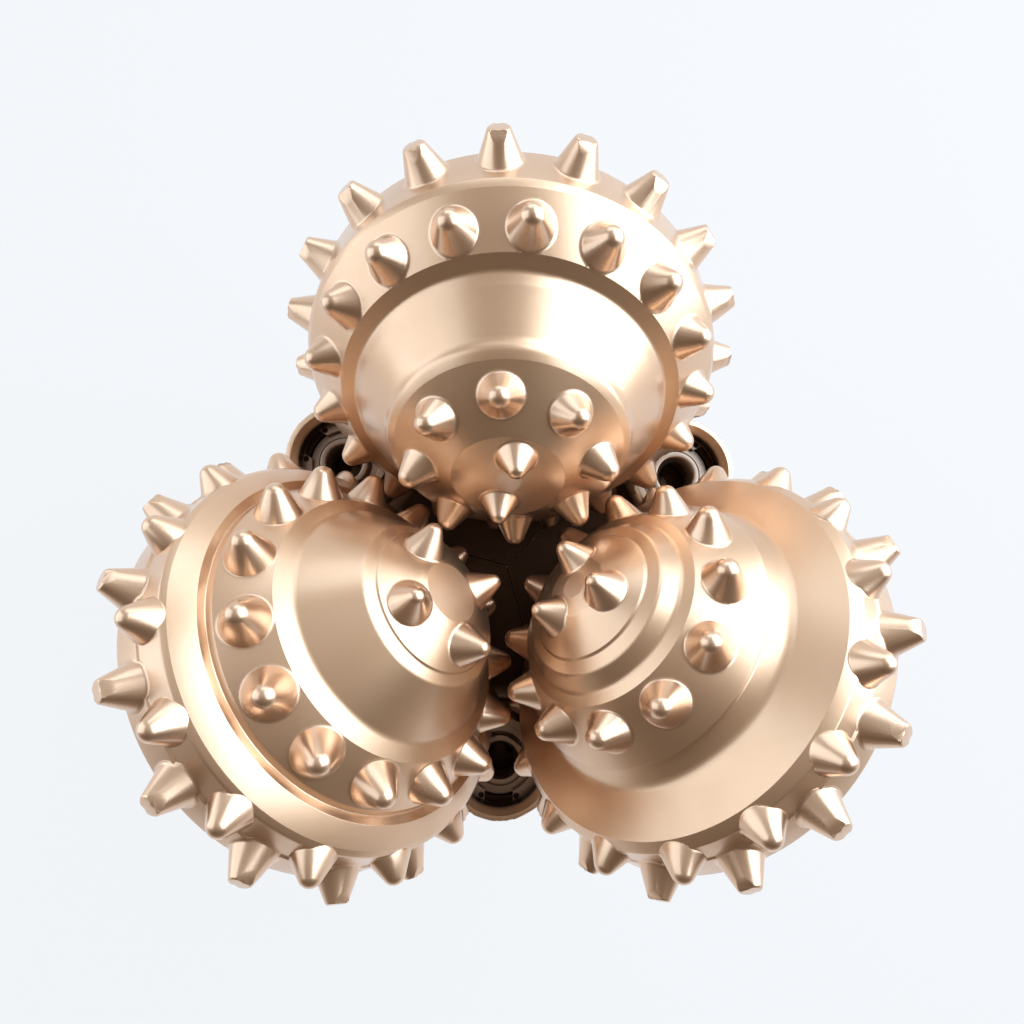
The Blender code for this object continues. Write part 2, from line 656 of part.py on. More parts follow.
def build_bearing(number, journal):
    """The seal, floating bush, balls, thrust washer and pilot bush between journal and cone."""
    seal_centre = JOURNAL_RADIUS + FIT_GAP + SEAL_SECTION / 2
    seal_along = (GLAND_START + GLAND_END) / 2
    piece(f"cone_seal_{number}", ring_seal("cone seal", seal_along, bored(seal_centre, CONE_STEPS) - 0.1,
                                           SEAL_SECTION - FIT_GAP, CONE_STEPS), RUBBER, journal)
    bush_start = JOURNAL_STEP + 2.5 * FIT_GAP
    piece(f"journal_bush_{number}", ring("journal bush", bush_start, bush_start + BUSH_LENGTH,
                                         JOURNAL_RADIUS + FIT_GAP, BUSH_OUTER, CONE_STEPS), BRONZE, journal)
    washer_start = CONE_THRUST_FACE + FIT_GAP
    piece(f"thrust_washer_{number}", ring("thrust washer", washer_start, washer_start + THRUST_WASHER,
                                          PILOT_BUSH_OUTER + FIT_GAP, JOURNAL_NECK, CONE_STEPS), BRONZE, journal)
    bush_floor = PILOT_FLOOR + FIT_GAP
    piece(f"pilot_bush_{number}", ring("pilot bush", bush_floor, CONE_THRUST_FACE,
                                       PILOT_RADIUS + FIT_GAP, PILOT_BUSH_OUTER, SMALL_STEPS), BRONZE, journal)
    # Each ball touches the next one, so the balls are joined from sets in which none touch.
    race = piece(f"ball_race_{number}", ball_set("balls", range(0, BALL_COUNT - 1, 2)), BARE_STEEL, journal)
    for name, picked in (("odd balls", range(1, BALL_COUNT - 1, 2)), ("last ball", [BALL_COUNT - 1])):
        others = guide(f"{name}_{number}".replace(" ", "_"), ball_set(name, picked), journal)
        combine(race, others, "UNION")


def ball_set(name, picked):
    """The picked balls of the race, each with a corner towards either neighbour."""
    bm = bmesh.new()
    tangent = Matrix.Rotation(pi / 2, 4, "X")
    for index in picked:
        turn = Matrix.Rotation(2 * pi * index / BALL_COUNT, 4, "X")
        place = turn @ Matrix.Translation(Vector((BALL_CENTRE, 0, BALL_RACE_RADIUS)) * MM) @ tangent
        bmesh.ops.create_uvsphere(bm, u_segments=BALL_STEPS, v_segments=4, radius=BALL_RADIUS * MM, matrix=place)
    return to_mesh(name, bm)


def pocket_place():
    """The reservoir pocket's frame inside the leg's: X runs in from the mouth."""
    slope = radians(POCKET_SLOPE)
    return along_axis((POCKET_MOUTH_X, 0.0, POCKET_MOUTH_Z), (-cos(slope), 0.0, sin(slope)))


def build_reservoir(number, leg, leg_frame, journal):
    """The grease reservoir: pocket, canister, diaphragm, cap and snap ring, and the grease hole."""
    place = pocket_place()
    wide = bored(POCKET_RADIUS, SMALL_STEPS)
    groove_start = RESERVOIR_RING_DEPTH - FIT_GAP
    groove_end = RESERVOIR_RING_DEPTH + RESERVOIR_RING_THICKNESS + FIT_GAP
    groove = bored(POCKET_RADIUS + RESERVOIR_RING_GRIP + FIT_GAP, SMALL_STEPS)
    mouth = -SHANK_RADIUS / 2
    outline = [(mouth, 0.0), (mouth, SPOT_FACE_RADIUS), (SPOT_FACE_DEPTH, SPOT_FACE_RADIUS), (SPOT_FACE_DEPTH, wide),
               (groove_start, wide), (groove_start, groove), (groove_end, groove), (groove_end, wide),
               (POCKET_DEPTH, wide), (POCKET_DEPTH, 0.0)]
    pocket = guide(f"pocket_{number}", turned("pocket", outline, SMALL_STEPS), leg_frame)
    pocket.matrix_local = place
    combine(leg, pocket, "DIFFERENCE")

    pieces = []
    pieces.append(piece(f"reservoir_snap_ring_{number}",
                        snap_ring("reservoir snap ring", RESERVOIR_RING_DEPTH, RESERVOIR_RING_THICKNESS,
                                  POCKET_RADIUS + RESERVOIR_RING_GRIP, RESERVOIR_RING_WIDTH), BARE_STEEL, leg_frame))
    body = POCKET_RADIUS - FIT_GAP
    cap_start = groove_end
    cap_end = cap_start + CAP_THICKNESS
    pieces.append(piece(f"reservoir_cap_{number}",
                        ring("reservoir cap", cap_start, cap_end, CAP_VENT_RADIUS, body, SMALL_STEPS),
                        BARE_STEEL, leg_frame))
    flange_start = cap_end + FIT_GAP
    flange_end = flange_start + DIAPHRAGM_FLANGE
    canister_start = flange_end + FIT_GAP
    cup = body - CANISTER_WALL - 2 * FIT_GAP
    dome = flange_end + DIAPHRAGM_LENGTH
    thin = DIAPHRAGM_WALL
    pieces.append(piece(f"grease_diaphragm_{number}", turned("grease diaphragm", (
        (flange_start, body), (flange_end, body), (flange_end, cup), (dome, cup), (dome, 0.0),
        (dome - thin, 0.0), (dome - thin, cup - thin), (flange_start, cup - thin)), SMALL_STEPS), RUBBER, leg_frame))
    floor = POCKET_DEPTH - FIT_GAP
    wall = body - CANISTER_WALL
    pieces.append(piece(f"grease_canister_{number}", turned("grease canister", (
        (canister_start, bored(wall, SMALL_STEPS)), (canister_start, body), (floor, body), (floor, GREASE_HOLE_RADIUS),
        (floor - CANISTER_WALL, GREASE_HOLE_RADIUS), (floor - CANISTER_WALL, bored(wall, SMALL_STEPS))),
        SMALL_STEPS), BARE_STEEL, leg_frame))
    for made in pieces:
        made.matrix_local = place

    hole_place = journal.matrix_local @ ball_hole_place()
    start = place @ Vector((POCKET_DEPTH * MM - 1.0 * MM, 0, 0))
    end = hole_place @ Vector((BALL_RACE_RADIUS * 2 * MM, 0, 0))
    run = end - start
    grease = guide(f"grease_hole_{number}", rod("grease hole", 0.0, run.length / MM, GREASE_HOLE_RADIUS, 8), leg_frame)
    grease.matrix_local = along_axis(start / MM, run)
    combine(leg, grease, "DIFFERENCE")


def build_nozzle(number, leg, leg_frame, boss_frame):
    """The nozzle in its boss, its O-ring and snap ring, and the fluid hole from the chamber."""
    ring_low = BOSS_TOP - NOZZLE_RING_DEPTH - NOZZLE_RING_THICKNESS
    flange = ring_low - FIT_GAP
    foot = flange - NOZZLE_LENGTH
    bore = bored(NOZZLE_RADIUS + FIT_GAP, SMALL_STEPS)
    seal_along = flange - NOZZLE_SEAL_DEPTH
    half_gland = NOZZLE_SEAL_SECTION / 2 + FIT_GAP
    gland = bored(NOZZLE_RADIUS + FIT_GAP + NOZZLE_SEAL_SECTION, SMALL_STEPS)
    groove = bored(BOSS_MOUTH_RADIUS + NOZZLE_RING_GRIP + FIT_GAP, SMALL_STEPS)
    mouth = bored(BOSS_MOUTH_RADIUS, SMALL_STEPS)
    outline = [
        (foot - FIT_GAP, 0.0), (foot - FIT_GAP, bore),
        (seal_along - half_gland, bore), (seal_along - half_gland, gland),
        (seal_along + half_gland, gland), (seal_along + half_gland, bore),
        (flange, bore), (flange, groove),
        (ring_low + NOZZLE_RING_THICKNESS + FIT_GAP, groove),
        (ring_low + NOZZLE_RING_THICKNESS + FIT_GAP, mouth),
        (BOSS_TOP + SWEEP_CLEARANCE, mouth), (BOSS_TOP + SWEEP_CLEARANCE, 0.0),
    ]
    well = guide(f"nozzle_well_{number}", turned("nozzle well", outline, SMALL_STEPS), boss_frame)
    combine(leg, well, "DIFFERENCE")
    neck_top = flange + NOZZLE_NECK_HEIGHT
    piece(f"nozzle_{number}", turned("nozzle", (
        (foot, NOZZLE_INLET_RADIUS), (foot, NOZZLE_RADIUS), (flange - FIT_GAP, NOZZLE_RADIUS),
        (flange - FIT_GAP, NOZZLE_NECK_RADIUS), (neck_top, NOZZLE_NECK_RADIUS), (neck_top, NOZZLE_EXIT_RADIUS),
        (flange - FIT_GAP, NOZZLE_THROAT_RADIUS)), SMALL_STEPS), CARBIDE, boss_frame)
    piece(f"nozzle_snap_ring_{number}", snap_ring("nozzle snap ring", ring_low, NOZZLE_RING_THICKNESS,
                                                  BOSS_MOUTH_RADIUS + NOZZLE_RING_GRIP, NOZZLE_RING_WIDTH),
          BARE_STEEL, boss_frame)
    piece(f"nozzle_oring_{number}", ring_seal("nozzle o-ring", seal_along,
                                              bored(NOZZLE_RADIUS + FIT_GAP / 2 + NOZZLE_SEAL_SECTION / 2, SMALL_STEPS),
                                              NOZZLE_SEAL_SECTION - FIT_GAP / 2, SMALL_STEPS), RUBBER, boss_frame)
    turn = Matrix.Rotation(radians(LEG_STEP / 2), 4, "Z")
    start = turn @ Vector((FLUID_HOLE_RADIUS, 0, FLUID_HOLE_START))
    end = turn @ Vector((BOSS_PLACE_RADIUS, 0, foot + FLUID_HOLE_RADIUS / 2))
    run = end - start
    hole = guide(f"fluid_hole_{number}", rod("fluid hole", 0.0, run.length, FLUID_HOLE_RADIUS, 12), leg_frame)
    hole.matrix_local = along_axis(start, run)
    combine(leg, hole, "DIFFERENCE")


def main():
    """Builds the three legs, each with its cone, bearing, grease reservoir and nozzle."""
    clear_scene()
    for index, cone in enumerate(CONES):
        number = index + 1
        leg, leg_frame, journal, boss_frame = build_leg(number, FIRST_LEG_AZIMUTH + LEG_STEP * index)
        build_ball_hole(number, leg, journal)
        build_cone(number, cone, journal)
        build_bearing(number, journal)
        build_reservoir(number, leg, leg_frame, journal)
        build_nozzle(number, leg, leg_frame, boss_frame)
    bpy.context.view_layer.update()


main()
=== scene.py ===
"""Dresses the tricone drill bit: its cones and inserts, legs, nozzles, pin and their sprayed finish.

Lengths are millimetres in the dataclasses and metres in Blender. A turned piece is made upright on
the Z axis and then put in its place. In a cone's own frame Z runs outwards along its journal and Y
towards the hole bottom, and the origin is level with the apex, where the journals pass the bit axis.
"""

import json
import logging
from dataclasses import dataclass
from enum import Enum
from math import atan2, ceil, cos, degrees, hypot, pi, radians, sin, tan
from typing import Callable, Iterable, Optional, Sequence, Union

import bmesh
import bpy
from mathutils import Matrix, Vector

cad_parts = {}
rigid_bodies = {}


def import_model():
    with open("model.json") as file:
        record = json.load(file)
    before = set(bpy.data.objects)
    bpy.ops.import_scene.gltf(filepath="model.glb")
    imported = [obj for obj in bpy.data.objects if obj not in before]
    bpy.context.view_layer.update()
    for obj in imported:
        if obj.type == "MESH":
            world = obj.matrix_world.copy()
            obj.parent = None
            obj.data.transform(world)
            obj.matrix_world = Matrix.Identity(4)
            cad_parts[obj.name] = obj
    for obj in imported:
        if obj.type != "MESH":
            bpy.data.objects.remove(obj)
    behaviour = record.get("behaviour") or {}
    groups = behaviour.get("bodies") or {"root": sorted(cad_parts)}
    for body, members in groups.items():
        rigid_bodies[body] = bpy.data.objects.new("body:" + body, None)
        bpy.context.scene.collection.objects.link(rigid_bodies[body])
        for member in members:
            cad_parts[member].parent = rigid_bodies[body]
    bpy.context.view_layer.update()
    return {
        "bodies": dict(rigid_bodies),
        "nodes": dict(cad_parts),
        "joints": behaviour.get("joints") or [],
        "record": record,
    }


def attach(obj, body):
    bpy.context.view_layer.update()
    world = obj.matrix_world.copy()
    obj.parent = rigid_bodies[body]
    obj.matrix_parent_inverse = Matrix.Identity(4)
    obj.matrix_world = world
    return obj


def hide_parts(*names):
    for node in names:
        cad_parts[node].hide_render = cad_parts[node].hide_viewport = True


LOG = logging.getLogger("tricone_bit")
MM = 0.001
MERGE = 2e-6
ARC_STEP = 12.0
EDGE_SHARE = 0.48
BIT = "bit_body"

Outline = list[tuple[float, float]]
Colour = tuple[float, float, float, float]
Number = Union[float, "Wire"]
Piece = bpy.types.Object


class Join(Enum):
    """What a tool does to the piece it meets."""

    WELD = "UNION"
    CUT = "DIFFERENCE"
    TRIM = "INTERSECT"


class Side(Enum):
    """The azimuths of the three legs, in degrees round the bit axis."""

    TOP = 90.0
    LEFT = 210.0
    RIGHT = 330.0


def spun(azimuth: float) -> Matrix:
    """A turn about the Z axis, in degrees."""
    return Matrix.Rotation(radians(azimuth), 4, "Z")


def shifted(x: float, y: float, z: float) -> Matrix:
    """A shift in millimetres."""
    return Matrix.Translation(Vector((x, y, z)) * MM)


def aimed(way: Vector, up: str = "Y") -> Matrix:
    """A turn that brings the Z axis to a direction."""
    return way.to_track_quat("Z", up).to_matrix().to_4x4()


@dataclass(frozen=True)
class Corner:
    """A corner of a turned outline: its height on the axis, its radius and its rounding."""

    along: float
    radius: float
    round: float = 0.0


def marked(*marks: tuple[float, ...]) -> list[Corner]:
    """Corners from their heights, radii and roundings."""
    return [Corner(*mark) for mark in marks]


def rounded(corners: Sequence[Corner], closed: bool = False) -> Outline:
    """Rounds the corners of an outline.

    Args:
        corners: The corners, in order.
        closed: Whether the last corner joins the first one.

    Returns:
        The outline's points, each rounding as an arc of points about ARC_STEP degrees apart.
    """
    places = [Vector((corner.along, corner.radius)) for corner in corners]
    outline: Outline = []
    for index, (corner, here) in enumerate(zip(corners, places)):
        end = not closed and index in (0, len(places) - 1)
        if corner.round <= 0.0 or end:
            outline.append((here.x, here.y))
            continue
        before = places[index - 1] - here
        after = places[(index + 1) % len(places)] - here
        half = before.angle(after) / 2
        reach = min(corner.round / tan(half), EDGE_SHARE * before.length, EDGE_SHARE * after.length)
        middle = (before.normalized() + after.normalized()).normalized()
        centre = here + middle * (reach * tan(half) / sin(half))
        start = here + before.normalized() * reach - centre
        finish = here + after.normalized() * reach - centre
        turn = start.angle_signed(finish)
        steps = max(2, ceil(abs(degrees(turn)) / ARC_STEP))
        for step in range(steps + 1):
            angle = -turn * step / steps
            outline.append((centre.x + start.x * cos(angle) - start.y * sin(angle),
                            centre.y + start.x * sin(angle) + start.y * cos(angle)))
    return outline


class Bench:
    """Blender's modelling tools, as a maker uses them on this bit."""

    @staticmethod
    def pick(*pieces: Piece) -> None:
        """Selects only the given pieces and makes the first one active."""
        for thing in bpy.context.selected_objects:
            thing.select_set(False)
        for piece in pieces:
            piece.select_set(True)
        if pieces:
            bpy.context.view_layer.objects.active = pieces[0]

    @staticmethod
    def named(piece: Piece, name: str) -> Piece:
        """Gives a piece and its data a name."""
        piece.name = name
        piece.data.name = name
        return piece

    @staticmethod
    def added(name: str, primitive: Callable[..., set], **settings: object) -> Piece:
        """Adds one of Blender's primitives, under a name."""
        Bench.pick()
        primitive(**settings)
        return Bench.named(bpy.context.active_object, name)

    @staticmethod
    def chain(name: str, outline: Outline, closed: bool = False) -> Piece:
        """Extrudes a point along an outline, and leaves the chain selected in edit mode.

        Args:
            name: The piece's name.
            outline: Points of (height, radius), in millimetres.
            closed: Whether the last point joins the first one, as on a ring.

        Returns:
            The piece that holds the chain.
        """
        points = [Vector((radius, 0.0, along)) * MM for along, radius in outline]
        piece = Bench.added(name, bpy.ops.mesh.primitive_plane_add, size=MM, location=(0, 0, 0))
        bpy.ops.object.mode_set(mode="EDIT")
        bpy.ops.mesh.merge(type="CENTER")
        bpy.ops.transform.translate(value=points[0])
        for last, point in zip(points, points[1:]):
            bpy.ops.mesh.extrude_region_move(TRANSFORM_OT_translate={"value": point - last})
        if closed:
            mesh = bmesh.from_edit_mesh(piece.data)
            for vert in mesh.verts:
                vert.select_set(len(vert.link_edges) == 1)
            mesh.select_flush_mode()
            bmesh.update_edit_mesh(piece.data)
            bpy.ops.mesh.edge_face_add()
        bpy.ops.mesh.select_all(action="SELECT")
        return piece

    @staticmethod
    def turned(name: str, outline: Outline, steps: int, closed: bool = False) -> Piece:
        """Turns an outline about the Z axis, in the given number of steps."""
        piece = Bench.chain(name, outline, closed)
        bpy.ops.mesh.spin(steps=steps, angle=2 * pi, center=(0, 0, 0), axis=(0, 0, 1))
        bpy.ops.mesh.select_all(action="SELECT")
        bpy.ops.mesh.remove_doubles(threshold=MERGE)
        bpy.ops.mesh.normals_make_consistent(inside=False)
        bpy.ops.object.mode_set(mode="OBJECT")
        return piece

    @staticmethod
    def bar(name: str, radius: float, low: float, high: float, steps: int) -> Piece:
        """A round bar on the Z axis, between two heights."""
        return Bench.turned(name, [(low, 0.0), (low, radius), (high, radius), (high, 0.0)], steps)

    @staticmethod
    def block(name: str, low: Vector, high: Vector) -> Piece:
        """A plain block between two corners, in millimetres."""
        piece = Bench.added(name, bpy.ops.mesh.primitive_cube_add, size=1.0, location=(low + high) * 0.5 * MM)
        piece.scale = (high - low) * MM
        bpy.ops.object.transform_apply()
        return piece

    @staticmethod
    def placed(piece: Piece, matrix: Matrix) -> Piece:
        """Moves a piece by a matrix and keeps its object at the origin."""
        piece.matrix_world = matrix @ piece.matrix_world
        Bench.pick(piece)
        bpy.ops.object.transform_apply()
        return piece

    @staticmethod
    def copied(piece: Piece, name: str) -> Piece:
        """A copy of a piece with its own mesh."""
        copy = piece.copy()
        copy.data = piece.data.copy()
        bpy.context.collection.objects.link(copy)
        return Bench.named(copy, name)

    @staticmethod
    def worked(piece: Piece, kind: str, **settings: object) -> Piece:
        """Puts one modifier on a piece and applies it."""
        Bench.pick(piece)
        bpy.ops.object.modifier_add(type=kind)
        modifier = piece.modifiers[-1]
        for key, value in settings.items():
            setattr(modifier, key, value)
        bpy.ops.object.modifier_apply(modifier=modifier.name)
        return piece

    @staticmethod
    def met(piece: Piece, tool: Piece, how: Join) -> Piece:
        """Welds a tool to a piece, cuts it away or trims the piece to it, and clears the tool away."""
        Bench.worked(piece, "BOOLEAN", operation=how.value, object=tool, solver="EXACT")
        bpy.data.objects.remove(tool, do_unlink=True)
        return piece

    @staticmethod
    def joined(name: str, pieces: Sequence[Piece]) -> Piece:
        """Joins pieces into one object."""
        Bench.pick(*pieces)
        bpy.ops.object.join()
        return Bench.named(bpy.context.active_object, name)

    @staticmethod
    def smooth(piece: Piece, angle: float) -> Piece:
        """Shades a piece smooth, apart from edges sharper than the angle in degrees."""
        Bench.pick(piece)
        bpy.ops.object.shade_smooth_by_angle(angle=radians(angle))
        return piece


class Wire:
    """A value in a node tree, on which Python's operators add Math nodes."""

    def __init__(self, patch: "Patch", socket: bpy.types.NodeSocket) -> None:
        """Wraps an output socket of the tree that is being wired."""
        self.patch = patch
        self.socket = socket

    def _math(self, operation: str, first: Number, second: Number) -> "Wire":
        """Adds a Math node with the two values."""
        return self.patch.node("ShaderNodeMath", {"operation": operation}, {0: first, 1: second})

    def __add__(self, other: Number) -> "Wire":
        """The sum."""
        return self._math("ADD", self, other)

    __radd__ = __add__

    def __sub__(self, other: Number) -> "Wire":
        """The difference."""
        return self._math("SUBTRACT", self, other)

    def __rsub__(self, other: Number) -> "Wire":
        """The difference from a number."""
        return self._math("SUBTRACT", other, self)

    def __mul__(self, other: Number) -> "Wire":
        """The product."""
        return self._math("MULTIPLY", self, other)

    def __pow__(self, other: Number) -> "Wire":
        """The power."""
        return self._math("POWER", self, other)


class Patch:
    """A node tree while it is being wired."""

    def __init__(self, tree: bpy.types.NodeTree) -> None:
        """Takes the tree."""
        self.tree = tree

    def node(self, kind: str, settings: Optional[dict] = None, values: Optional[dict] = None,
             output: Union[int, str] = 0) -> Wire:
        """Adds a node.

        Args:
            kind: The node's type.
            settings: Its own settings, such as an operation or a ramp's stops.
            values: What its input sockets hold, by name or number: numbers, colours or wires.
            output: The output socket that is wanted.

        Returns:
            The wanted output as a wire.
        """
        made = self.tree.nodes.new(kind)
        for key, value in (settings or {}).items():
            if key == "stops":
                self.set_stops(made, value)
            else:
                setattr(made, key, value)
        for key, value in (values or {}).items():
            self.feed(made.inputs[key], value)
        return Wire(self, made.outputs[output])

    def feed(self, socket: bpy.types.NodeSocket, value: object) -> None:
        """Gives a socket a wire or a plain value."""
        if isinstance(value, Wire):
            self.tree.links.new(value.socket, socket)
        else:
            socket.default_value = value

    @staticmethod
    def set_stops(ramp: bpy.types.Node, stops: Sequence[tuple[float, float]]) -> None:
        """Sets a grey ramp's stops from (place, brightness) pairs."""
        elements = ramp.color_ramp.elements
        while len(elements) < len(stops):
            elements.new(1.0)
        for element, (place, level) in zip(elements, stops):
            element.position = place
            element.color = (level, level, level, 1.0)

    def ramp(self, value: Wire, stops: Sequence[tuple[float, float]]) -> Wire:
        """Passes a value through a grey ramp."""
        return self.node("ShaderNodeValToRGB", {"stops": stops}, {"Fac": value})

    def band(self, length: Wire, span: float, *stops: tuple[float, float]) -> Wire:
        """Passes a length through a grey ramp, whose span and stops are given in millimetres."""
        return self.ramp(length * (1.0 / (span * MM)), [(place / span, level) for place, level in stops])

    def eased(self, value: Wire, source: tuple[float, float], target: tuple[float, float]) -> Wire:
        """Maps a value smoothly from one range to another."""
        ranges = dict(zip(("From Min", "From Max", "To Min", "To Max"), (*source, *target)))
        return self.node("ShaderNodeMapRange", {"interpolation_type": "SMOOTHSTEP"}, {"Value": value, **ranges})

    def blend(self, mask: Wire, first: object, second: object) -> Wire:
        """Mixes two colours by a mask."""
        return self.node("ShaderNodeMix", {"data_type": "RGBA"}, {0: mask, 6: first, 7: second}, 2)


class PaintShop(Patch):
    """One material while its nodes are being put together."""

    def __init__(self, name: str) -> None:
        """Starts a material that holds only its shader and its output."""
        self.material = bpy.data.materials.new(name)
        self.material.use_nodes = True
        super().__init__(self.material.node_tree)
        self.shader = self.tree.nodes["Principled BSDF"]

    def place(self) -> Wire:
        """The place on the piece, in metres."""
        return self.node("ShaderNodeTexCoord", output="Object")

    def noise(self, size: float, detail: float = 2.0) -> Wire:
        """Cloudy noise whose blotches are about the given size, in millimetres."""
        return self.node("ShaderNodeTexNoise", {"noise_dimensions": "3D"},
                         {"Vector": self.place(), "Scale": 1.0 / (size * MM), "Detail": detail, "Roughness": 0.5})

    def bump(self, height: Wire, depth: float, below: Optional[Wire] = None) -> Wire:
        """Roughens the surface by a height, whose full swing is depth millimetres."""
        values = {"Height": height, "Distance": depth * MM, "Strength": 1.0}
        if below is not None:
            values["Normal"] = below
        return self.node("ShaderNodeBump", None, values)

    def finished(self, values: dict) -> bpy.types.Material:
        """Feeds the shader's inputs and hands over the material."""
        for key, value in values.items():
            self.feed(self.shader.inputs[key], value)
        return self.material


@dataclass(frozen=True)
class SprayedGold:
    """Satin champagne-gold spray over steel: fine metal flake, soft blotches and a little orange peel, and where
    asked painted shade that darkens the recesses.
    """

    name: str = "gold_paint"
    light: Colour = (0.74, 0.475, 0.295, 1.0)
    deep: Colour = (0.62, 0.38, 0.215, 1.0)
    roughness: float = 0.29
    skin: float = 0.02
    skin_size: float = 2.2
    grain: float = 0.005
    # Painted shade: whether the recesses are darkened, and the dark colour that is painted there.
    recess_shade: bool = False
    recess_shade_colour: Colour = (0.045, 0.024, 0.013, 1.0)
    blotch_size: float = 26.0
    flake_size: float = 0.35
    metallic: float = 0.92
    top_roughness: float = 0.25
    top_ior: float = 1.75

    def mix(self) -> bpy.types.Material:
        """Makes the material."""
        paint = PaintShop(self.name)
        blotch = paint.ramp(paint.noise(self.blotch_size, 3.0), ((0.32, 0.0), (0.72, 1.0)))
        flake = paint.noise(self.flake_size, 1.0)
        tone = paint.blend(blotch * 0.55 + flake * 0.25, self.light, self.deep)
        top: Number = 1.0
        # Painted shade: in the recesses the tone turns dark brown and the coat fades out, where shade falls.
        if self.recess_shade:
            recess_shade = self.painted_recess_shade(paint)
            tone = paint.blend(recess_shade, tone, self.recess_shade_colour)
            top = 1.0 - recess_shade
        peel = paint.bump(paint.noise(self.skin_size, 3.0), self.skin)
        return paint.finished({"Base Color": tone, "Metallic": self.metallic, "Coat Weight": top,
                               "Coat Roughness": self.top_roughness, "Coat IOR": self.top_ior,
                               "Roughness": self.roughness + flake * 0.10 + blotch * 0.05,
                               "Normal": paint.bump(flake, self.grain, peel)})

    @staticmethod
    def painted_recess_shade(paint: PaintShop) -> Wire:
        """A mask of painted shade where shade falls: the body's middle, under the cones, and the three nozzle wells.
        """
        across, deep, height = (paint.node("ShaderNodeSeparateXYZ", None, {0: paint.place()}, axis)
                                for axis in range(3))
        radius = (across * across + deep * deep) ** 0.5
        under_cones = paint.band(height, 250.0, (155.0, 0.0), (172.5, 1.0))
        mask = paint.band(radius, 100.0, (50.0, 1.0), (66.0, 0.0)) * under_cones
        for side in Side:
            turn = radians(side.value + Layout.leg_step / 2)
            aside = across - Layout.nozzle_place * MM * cos(turn)
            away = deep - Layout.nozzle_place * MM * sin(turn)
            well = paint.band((aside * aside + away * away) ** 0.5, 25.0, (17.5, 1.0), (18.5, 0.0))
            depth = paint.band(height, 250.0, (155.0, 0.0), (165.0, 1.0), (193.0, 1.0), (195.5, 0.0))
            mask = mask + well * depth
        return paint.node("ShaderNodeMath", {"operation": "MINIMUM"}, {0: mask, 1: 1.0})


@dataclass(frozen=True)
class MachinedMetal:
    """Turned metal: a fine grain in its roughness and a few darker handling marks."""

    name: str
    colour: Colour
    stain: Colour
    roughness: float = 0.30

    def mix(self) -> bpy.types.Material:
        """Makes the material."""
        paint = PaintShop(self.name)
        marks = paint.ramp(paint.noise(9.0, 4.0), ((0.45, 0.0), (0.75, 1.0)))
        grain = paint.noise(0.5)
        return paint.finished({"Base Color": paint.blend(marks, self.colour, self.stain), "Metallic": 1.0,
                               "Roughness": self.roughness + marks * 0.15 + grain * 0.08,
                               "Normal": paint.bump(grain, 0.008)})


@dataclass(frozen=True)
class SealRubber:
    """Black seal rubber with a dull bloom."""

    name: str = "rubber"
    black: Colour = (0.016, 0.016, 0.017, 1.0)
    dull: Colour = (0.045, 0.044, 0.042, 1.0)

    def mix(self) -> bpy.types.Material:
        """Makes the material."""
        paint = PaintShop(self.name)
        bloom = paint.ramp(paint.noise(4.0, 3.0), ((0.4, 0.0), (0.8, 1.0)))
        return paint.finished({"Base Color": paint.blend(bloom, self.black, self.dull),
                               "Roughness": 0.55 + bloom * 0.2, "Normal": paint.bump(paint.noise(0.6), 0.02)})


class Finishes:
    """Every finish on the bit, mixed once."""

    def __init__(self) -> None:
        """Mixes the finishes."""
        self.cones = SprayedGold().mix()
        self.inserts = SprayedGold("sprayed_inserts", (0.76, 0.50, 0.325, 1.0), (0.67, 0.42, 0.255, 1.0),
                                   0.24, 0.006, 1.2, 0.002).mix()
        # The forging carries painted shade in its middle, under the cones and in the nozzle wells.
        self.forging = SprayedGold("sprayed_forging", roughness=0.36, skin=0.09, skin_size=3.4, recess_shade=True).mix()
        # Painted shade: the nozzles get a darker copy of the gold paint because they sit down in their wells.
        self.nozzles = SprayedGold("shaded_nozzles", (0.30, 0.185, 0.115, 1.0), (0.19, 0.115, 0.07, 1.0)).mix()
        self.steel = MachinedMetal("bare_steel", (0.52, 0.51, 0.50, 1.0), (0.30, 0.28, 0.26, 1.0)).mix()
        self.bronze = MachinedMetal("bronze", (0.68, 0.44, 0.20, 1.0), (0.42, 0.25, 0.11, 1.0)).mix()
        self.rubber = SealRubber().mix()

    @staticmethod
    def coat(piece: Piece, material: bpy.types.Material, slot: str) -> None:
        """Gives a piece one material."""
        piece.data.materials.clear()
        piece.data.materials.append(material)


@dataclass(frozen=True)
class Layout:
    """How the legs, journals and nozzles stand on the bit, in millimetres and degrees."""

    apex: float = 283.0
    journal_angle: float = 33.0
    offset: float = 1.8
    leg_step: float = 120.0
    nozzle_place: float = 78.2
    boss_top: float = 197.0

    def leg(self, side: Side) -> Matrix:
        """The matrix of a leg's frame, whose X axis points out through the leg."""
        return spun(side.value)

    def journal(self, azimuth: float = 0.0) -> Matrix:
        """The matrix of a journal's frame: Z out along the journal, Y towards the hole bottom."""
        lean = radians(self.journal_angle)
        outwards = Vector((cos(lean), 0.0, -sin(lean)))
        across = Vector((0.0, 1.0, 0.0))
        turn = Matrix((across, outwards.cross(across), outwards)).transposed().to_4x4()
        return spun(azimuth) @ shifted(0.0, self.offset, self.apex) @ turn

    def nozzle(self) -> Matrix:
        """The nozzle's axis in its leg's frame."""
        return spun(self.leg_step / 2) @ shifted(self.nozzle_place, 0.0, 0.0)


